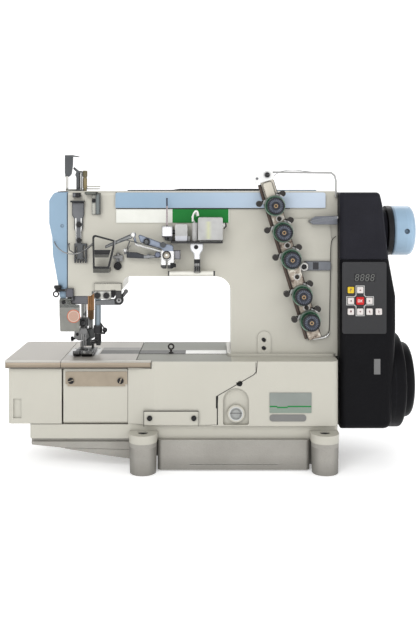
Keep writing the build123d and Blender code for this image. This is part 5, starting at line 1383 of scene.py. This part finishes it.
class COVERSTITCH_OT_guides(PieceOperator, bpy.types.Operator):
    """Finish the guides, brackets and oil boxes on the head and the arm, and add their small parts"""

    bl_idname = "coverstitch.guides"
    bl_label = "Guides"

    def dress(self, context):
        paint("head guides", "head_guides")
        paint("head posts", "head_posts")
        paint("head brackets", "head_brackets")
        paint("guard black", "take_up_guard")
        paint("clear plastic", "lubricator_box")
        paint("arm brackets", "arm_brackets")
        paint("take up", "take_up_lever")
        self.guard_wire()
        self.thumb_screw()
        self.take_up_details()
        self.oil_box_details()

    def guard_wire(self):
        """Thin round wire that sweeps from the face cover past the thread guide to the take-up guard."""
        sweep = [(-249.4, -38.0, 308.0), (-247.4, -44.0, 305.0), (-242.0, -48.0, 299.0),
                 (-234.5, -50.0, 293.9), (-224.5, -50.2, 291.2), (-214.7, -50.2, 292.4),
                 (-206.4, -49.6, 296.4), (-199.5, -47.0, 302.0), (-195.6, -44.0, 306.0)]
        wire("guard_wire_sweep", sweep, 0.85, "grey steel", "steel")

    def thumb_screw(self):
        """Knurled head on the dark thumb screw, with the grey clip above it."""
        bm = bmesh.new()
        knurl = [(5.3, -2.6), (5.5, -1.6), (5.5, 0.2), (4.8, 1.0),
                 (3.6, 1.0), (3.2, 0.3), (1.4, 0.3), (1.2, 0.9)]
        lathe(bm, (-160.8, -41.4, 274.1), (0, -1, 0), knurl, 20)
        mesh_piece("thumb_screw_head", bm, "black oxide", "black_screw", smooth=False)
        bm = bmesh.new()
        slab(bm, [(-167.4, 284.6, 1), (-167.4, 288.4, 1), (-153.6, 289.6, 1), (-153.6, 281.0, 1),
                  (-158.6, 281.0, 0), (-158.6, 284.6, 0)], -40.6, -35.5)
        lathe(bm, (-160.4, -38.2, 288.6), (0, 0, 1), [(2.6, 0), (2.8, 1.2), (2.2, 3.2), (1.2, 4.0)], 20)
        mesh_piece("thumb_screw_clip", bm, "grey steel", "steel", bevel=0.4)

    def take_up_details(self):
        """Ringed screw, dark wires and arm edges that swing with the take-up."""
        bm = bmesh.new()
        slotted(bm, -96.9, -55.9, 304.9, 3.9, 1.8, 60)
        slotted(bm, -119.5, -57.9, 309.0, 2.7, 0.7, 20)
        mesh_piece("take_up_screws", bm, "dark steel", "black_screw", "take_up")
        sweep = [(-156.6, -57.2, 309.0), (-152.4, -57.4, 311.2), (-145.6, -57.4, 311.2),
                 (-134.6, -57.4, 308.4), (-120.3, -57.4, 304.9), (-106.6, -57.4, 301.4),
                 (-99.6, -57.2, 299.2)]
        wire("take_up_wire", sweep, 0.55, "dark steel", "steel", "take_up")
        for name, start, end in (("upper", (-176.6, 303.2), (-139.8, 319.8)),
                                 ("lower", (-176.8, 299.9), (-139.6, 313.9))):
            x, z = (start[0] + end[0]) / 2, (start[1] + end[1]) / 2
            points = [(start[0], -52.2, start[1]), (x, -52.3, z + 0.5), (end[0], -52.2, end[1])]
            wire(f"take_up_arm_{name}", points, 0.45, "dark steel", "steel", "take_up")
        hook = [(-141.6, -57.2, 303.8), (-144.6, -57.4, 300.0), (-145.0, -57.4, 296.0),
                (-142.6, -57.2, 293.4)]
        wire("take_up_hook", hook, 0.5, "dark steel", "steel", "take_up")

    def oil_box_details(self):
        """Spring under the pin block, hook over the neck, ribbed plug, and the clip beside the box."""
        points = spring_points((-92.4, -48, 310.4), 2.4, math.pi / 5, 0.108, 41)
        wire("pin_spring", points, 0.5, "dark steel", "steel")
        arch = [(-56.2, -50, 336.6), (-56.4, -50, 341.4), (-55.4, -50, 346.8), (-52.4, -50, 351.4),
                (-49.0, -50, 350.2), (-48.6, -50, 344.4)]
        wire("oil_neck_hook", arch, 1.35, "white enamel", "white_plate")
        bm = bmesh.new()
        outline = [(1.9, 0)]
        for k in range(5):
            outline += [(2.5, 0.3 + k * 1.3), (2.5, 1.0 + k * 1.3), (2.1, 1.15 + k * 1.3)]
        lathe(bm, (-61.6, -51, 310.0), (0, 0, 1), outline, 20)
        mesh_piece("oil_plug", bm, "machined steel", "steel")
        bm = bmesh.new()
        slab(bm, [(-14.6, 327.6, 0), (-10.0, 328.8, 0), (-10.8, 334.4, 0), (-14.6, 333.8, 0)], -46, -40)
        mesh_piece("oil_box_clip", bm, "white enamel", "white_plate", bevel=0.4)
        bm = bmesh.new()
        slab(bm, [(-12.6, 325.6, 0), (-9.0, 329.8, 0), (-9.8, 334.6, 0), (-11.4, 334.6, 0), (-11.0, 330.2, 0),
                  (-13.6, 327.2, 0)], -46.6, -46.1)
        mesh_piece("oil_box_clip_edge", bm, "seam", "black_plastic", smooth=False)


class COVERSTITCH_OT_needle_side(PieceOperator, bpy.types.Operator):
    """Finish the bars, the clamp, the foot and what moves under the plate"""

    bl_idname = "coverstitch.needle_side"
    bl_label = "Needle side"

    def dress(self, context):
        paint("needle bar", "needle_bar")
        paint("presser bar", "presser_bar")
        paint("presser foot", "presser_foot")
        paint("needle clamp", "needle_clamp")
        paint("lifter", "lifter_lever")
        paint("spreader", "spreader")
        paint("machined steel", "looper", "feed_dog")
        bm = bmesh.new()
        slab(bm, [(-170.2, 229.6, 0), (-170.2, 239.8, 0), (-164.2, 239.8, 0), (-164.2, 233.0, 2),
                  (-166.6, 229.6, 1)], -38.0, -35.7)
        mesh_piece("lifter_spring_block", bm, "black oxide", "black_screw", bevel=0.4)
        self.finger_guard()
        self.bush_sleeve()
        self.clamp_details()
        self.foot_details()

    def finger_guard(self):
        """Clear plate with its hinge pin, screw and bare round label; it stands for the CAD guard."""
        face = -38.5
        bm = bmesh.new()
        slab(bm, [(-242.6, 227.4, 1), (-242.4, 205.0, 0), (-241.4, 182.6, 1.5), (-214.2, 182.6, 2),
                  (-214.2, 219.6, 1.5), (-225.9, 221.4, 1.5), (-226.4, 227.4, 1)], face, -36.9)
        lathe(bm, (-242.0, -37.5, 227.4), (1, 0, 0), [(1.8, 0), (1.8, 15.8)], 24)
        guard = mesh_piece("finger_guard_plate", bm, "guard plastic", "clear_plastic", "finger_guard",
                           bevel=0.25)
        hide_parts("finger_guard")
        bm = bmesh.new()
        lathe(bm, (-222.6, -38.45, 204.0), (0, -1, 0), [(9.3, 0), (9.3, 0.15), (8.9, 0.2)], 48)
        mesh_piece("finger_guard_label", bm, "round label", "white_plate", "finger_guard")
        bm = bmesh.new()
        slotted(bm, -236.6, face, 223.6, 2.7, 1.2, 15)
        mesh_piece("finger_guard_screw", bm, "black oxide", "black_screw", "finger_guard")

    def bush_sleeve(self):
        """Copper-coloured ribbed sleeve below the presser bar's bush, open for the bar."""
        bm = bmesh.new()
        outline = [(3.4, 0.0), (4.4, 0.0)]
        for k in range(6):
            outline += [(4.7, 0.5 + k * 2), (4.7, 1.4 + k * 2), (4.3, 1.9 + k * 2)]
        outline += [(4.4, 12.6), (3.4, 12.6)]
        lathe(bm, (-205, 7.5, 193.4), (0, 0, 1), outline, 32, hollow=True)
        mesh_piece("presser_bush_sleeve", bm, "copper", "steel")

    def clamp_details(self):
        """Knurled screw on the needle clamp's left, its lower thread guide and two set screws in front."""
        bm = bmesh.new()
        knurl = [(1.6, 0), (1.6, 2.4), (3.2, 2.8), (3.5, 3.2), (3.5, 6.4), (3.0, 7.0), (1.2, 7.0)]
        lathe(bm, (-219.4, -9.5, 190.6), (-1, 0, 0), knurl, 20)
        for z, angle in ((187.4, 100), (194.0, 40)):
            slotted(bm, -212.6, -16.5, z, 2.2, 1.2, angle)
        mesh_piece("needle_clamp_screws", bm, "black oxide", "black_screw", "needle_bar")
        bm = bmesh.new()
        slab(bm, [(-218.0, 176.4, 1), (-216.4, 183.4, 1), (-208.6, 183.4, 1), (-206.6, 177.6, 1.2),
                  (-209.0, 174.0, 1)], -14.4, -13.2)
        mesh_piece("needle_thread_guide", bm, "grey steel", "steel", "needle_bar", bevel=0.3)

    def foot_details(self):
        """Shank plate with its knobs, screws and spring on the presser bar, toe plates, spreader's arm."""
        bm = bmesh.new()
        slab(bm, [(-228.4, 167.4, 2), (-227.4, 179.6, 2), (-222.0, 182.0, 1.5), (-218.6, 176.0, 1),
                  (-207.8, 176.0, 1.5), (-206.0, 168.6, 2), (-210.6, 163.6, 2), (-222.4, 163.6, 2)],
             -0.6, 6.0)
        mesh_piece("presser_shank_plate", bm, "grey steel", "steel", "presser_bar", bevel=0.6)
        bm = bmesh.new()
        lathe(bm, (-225.6, -0.4, 184.4), (-1, -0.4, 0),
              [(1.2, -1.0), (1.2, 0.6), (3.0, 1.0), (3.2, 3.4), (2.2, 4.4)], 20)
        lathe(bm, (-228.2, 1.0, 166.0), (-1, -0.2, 0),
              [(1.4, -2.0), (1.4, 0.4), (3.3, 0.8), (3.6, 3.8), (2.4, 4.8)], 20)
        slotted(bm, -223.4, -0.6, 172.4, 2.2, 1.1, 20)
        slotted(bm, -211.8, -0.6, 170.6, 1.9, 1.1, 75)
        mesh_piece("presser_shank_screws", bm, "black oxide", "black_screw", "presser_bar")
        points = spring_points((-217.6, 0.8, 176.6), 1.6, 0.6, 0.24, 40)
        wire("presser_spring", points, 0.4, "bright steel", "steel", "presser_bar")
        bm = bmesh.new()
        for x0, x1 in ((-221.8, -215.2), (-210.0, -203.2), (-201.4, -197.0)):
            slab(bm, [(x0, 152.5, 0), (x0 + 0.8, 154.9, 0.6), (x1 - 0.8, 154.9, 0.6), (x1, 152.5, 0)],
                 -34.0, -20.0)
        mesh_piece("presser_toe_plates", bm, "dark steel", "black_screw", "presser_foot", bevel=0.3)
        arm = [(-188.8, -11.0, 190.4), (-186.0, -11.6, 187.2), (-182.8, -11.6, 182.4)]
        wire("spreader_arm", arm, 0.9, "black oxide", "steel", "spreader")


class COVERSTITCH_OT_stage(PieceOperator, bpy.types.Operator):
    """Set out the floor, the soft lights and the camera"""

    bl_idname = "coverstitch.stage"
    bl_label = "Stage"

    def dress(self, context):
        scene = context.scene
        scene.view_settings.view_transform = "Standard"
        self.floor()
        world = bpy.data.worlds.new("studio")
        world.use_nodes = True
        world.node_tree.nodes["Background"].inputs[0].default_value = (1.0, 1.0, 1.0, 1.0)
        world.node_tree.nodes["Background"].inputs[1].default_value = settings().world_light
        scene.world = world
        key = settings().key_light
        lights = (
            ("key", (-0.8, -1.9, 1.5), 1.1, 1.0),
            ("fill", (1.7, -1.7, 0.9), 1.3, 0.45),
            ("back", (0.2, 1.8, 1.8), 1.4, 0.4),
        )
        for name, spot, size, share in lights:
            self.light(name, spot, size, key * share)
        camera = bpy.data.objects.new("camera", bpy.data.cameras.new("camera"))
        scene.collection.objects.link(camera)
        camera.location = (CAMERA_X, BED_FRONT - settings().camera_distance, settings().camera_height)
        camera.rotation_euler = (math.radians(90), 0, 0)
        camera.data.lens = SENSOR_HEIGHT * FOCAL_LENGTH / PHOTO_HEIGHT
        camera.data.shift_y = (HORIZON_ROW - PHOTO_HEIGHT / 2) / PHOTO_HEIGHT
        scene.camera = camera

    def floor(self):
        """Pale floor that curves up into a backdrop far behind."""
        bm = bmesh.new()
        front, back, top, bend, width, steps = -4.0, 3.2, 5.0, 1.0, 6.0, 10
        line = [(front, 0.0), (back - bend, 0.0)]
        for k in range(1, steps + 1):
            a = math.radians(90 * k / steps)
            line.append((back - bend + bend * math.sin(a), bend - bend * math.cos(a)))
        line.append((back, top))
        sides = [[bm.verts.new((x, y, z)) for y, z in line] for x in (-width, width)]
        for i in range(len(line) - 1):
            bm.faces.new((sides[0][i], sides[1][i], sides[1][i + 1], sides[0][i + 1]))
        data = bpy.data.meshes.new("floor")
        bm.to_mesh(data)
        bm.free()
        data.shade_smooth()
        floor = bpy.data.objects.new("floor", data)
        bpy.context.scene.collection.objects.link(floor)
        data.materials.append(finish("studio floor"))

    def light(self, name, spot, size, power):
        """Square soft light aimed at the machine."""
        data = bpy.data.lights.new(name, "AREA")
        data.energy = power
        data.size = size
        lamp = bpy.data.objects.new(name, data)
        bpy.context.scene.collection.objects.link(lamp)
        lamp.location = spot
        aim = Vector((0, 0, 0.2))
        lamp.rotation_euler = (aim - Vector(spot)).to_track_quat("-Z", "Y").to_euler()


OPERATORS = (
    COVERSTITCH_OT_castings,
    COVERSTITCH_OT_blue_covers,
    COVERSTITCH_OT_plates,
    COVERSTITCH_OT_drive,
    COVERSTITCH_OT_panel,
    COVERSTITCH_OT_tension,
    COVERSTITCH_OT_guides,
    COVERSTITCH_OT_needle_side,
    COVERSTITCH_OT_stage,
)


class COVERSTITCH_PT_panel(bpy.types.Panel):
    """Sidebar list of the machine's settings and piece groups"""

    bl_idname = "COVERSTITCH_PT_panel"
    bl_label = "Coverstitch machine"
    bl_space_type = "VIEW_3D"
    bl_region_type = "UI"
    bl_category = "Coverstitch"

    def draw(self, context):
        for name in ("cream", "blue", "black", "green", "plate", "spring_wire", "spring_turns",
                     "camera_distance", "camera_height", "key_light", "world_light"):
            self.layout.prop(context.scene.coverstitch, name)
        for operator in OPERATORS:
            self.layout.operator(operator.bl_idname)


CLASSES = (CoverstitchSettings, *OPERATORS, COVERSTITCH_PT_panel)


def register():
    """Add the settings, the operators and the sidebar panel."""
    for cls in CLASSES:
        bpy.utils.register_class(cls)
    bpy.types.Scene.coverstitch = PointerProperty(type=CoverstitchSettings)


def unregister():
    """Take them out again."""
    del bpy.types.Scene.coverstitch
    for cls in reversed(CLASSES):
        bpy.utils.unregister_class(cls)


def main():
    """Register, then run each operator in order."""
    register()
    for operator in OPERATORS:
        group, name = operator.bl_idname.split(".")
        getattr(getattr(bpy.ops, group), name)()


if __name__ == "__main__":
    main()
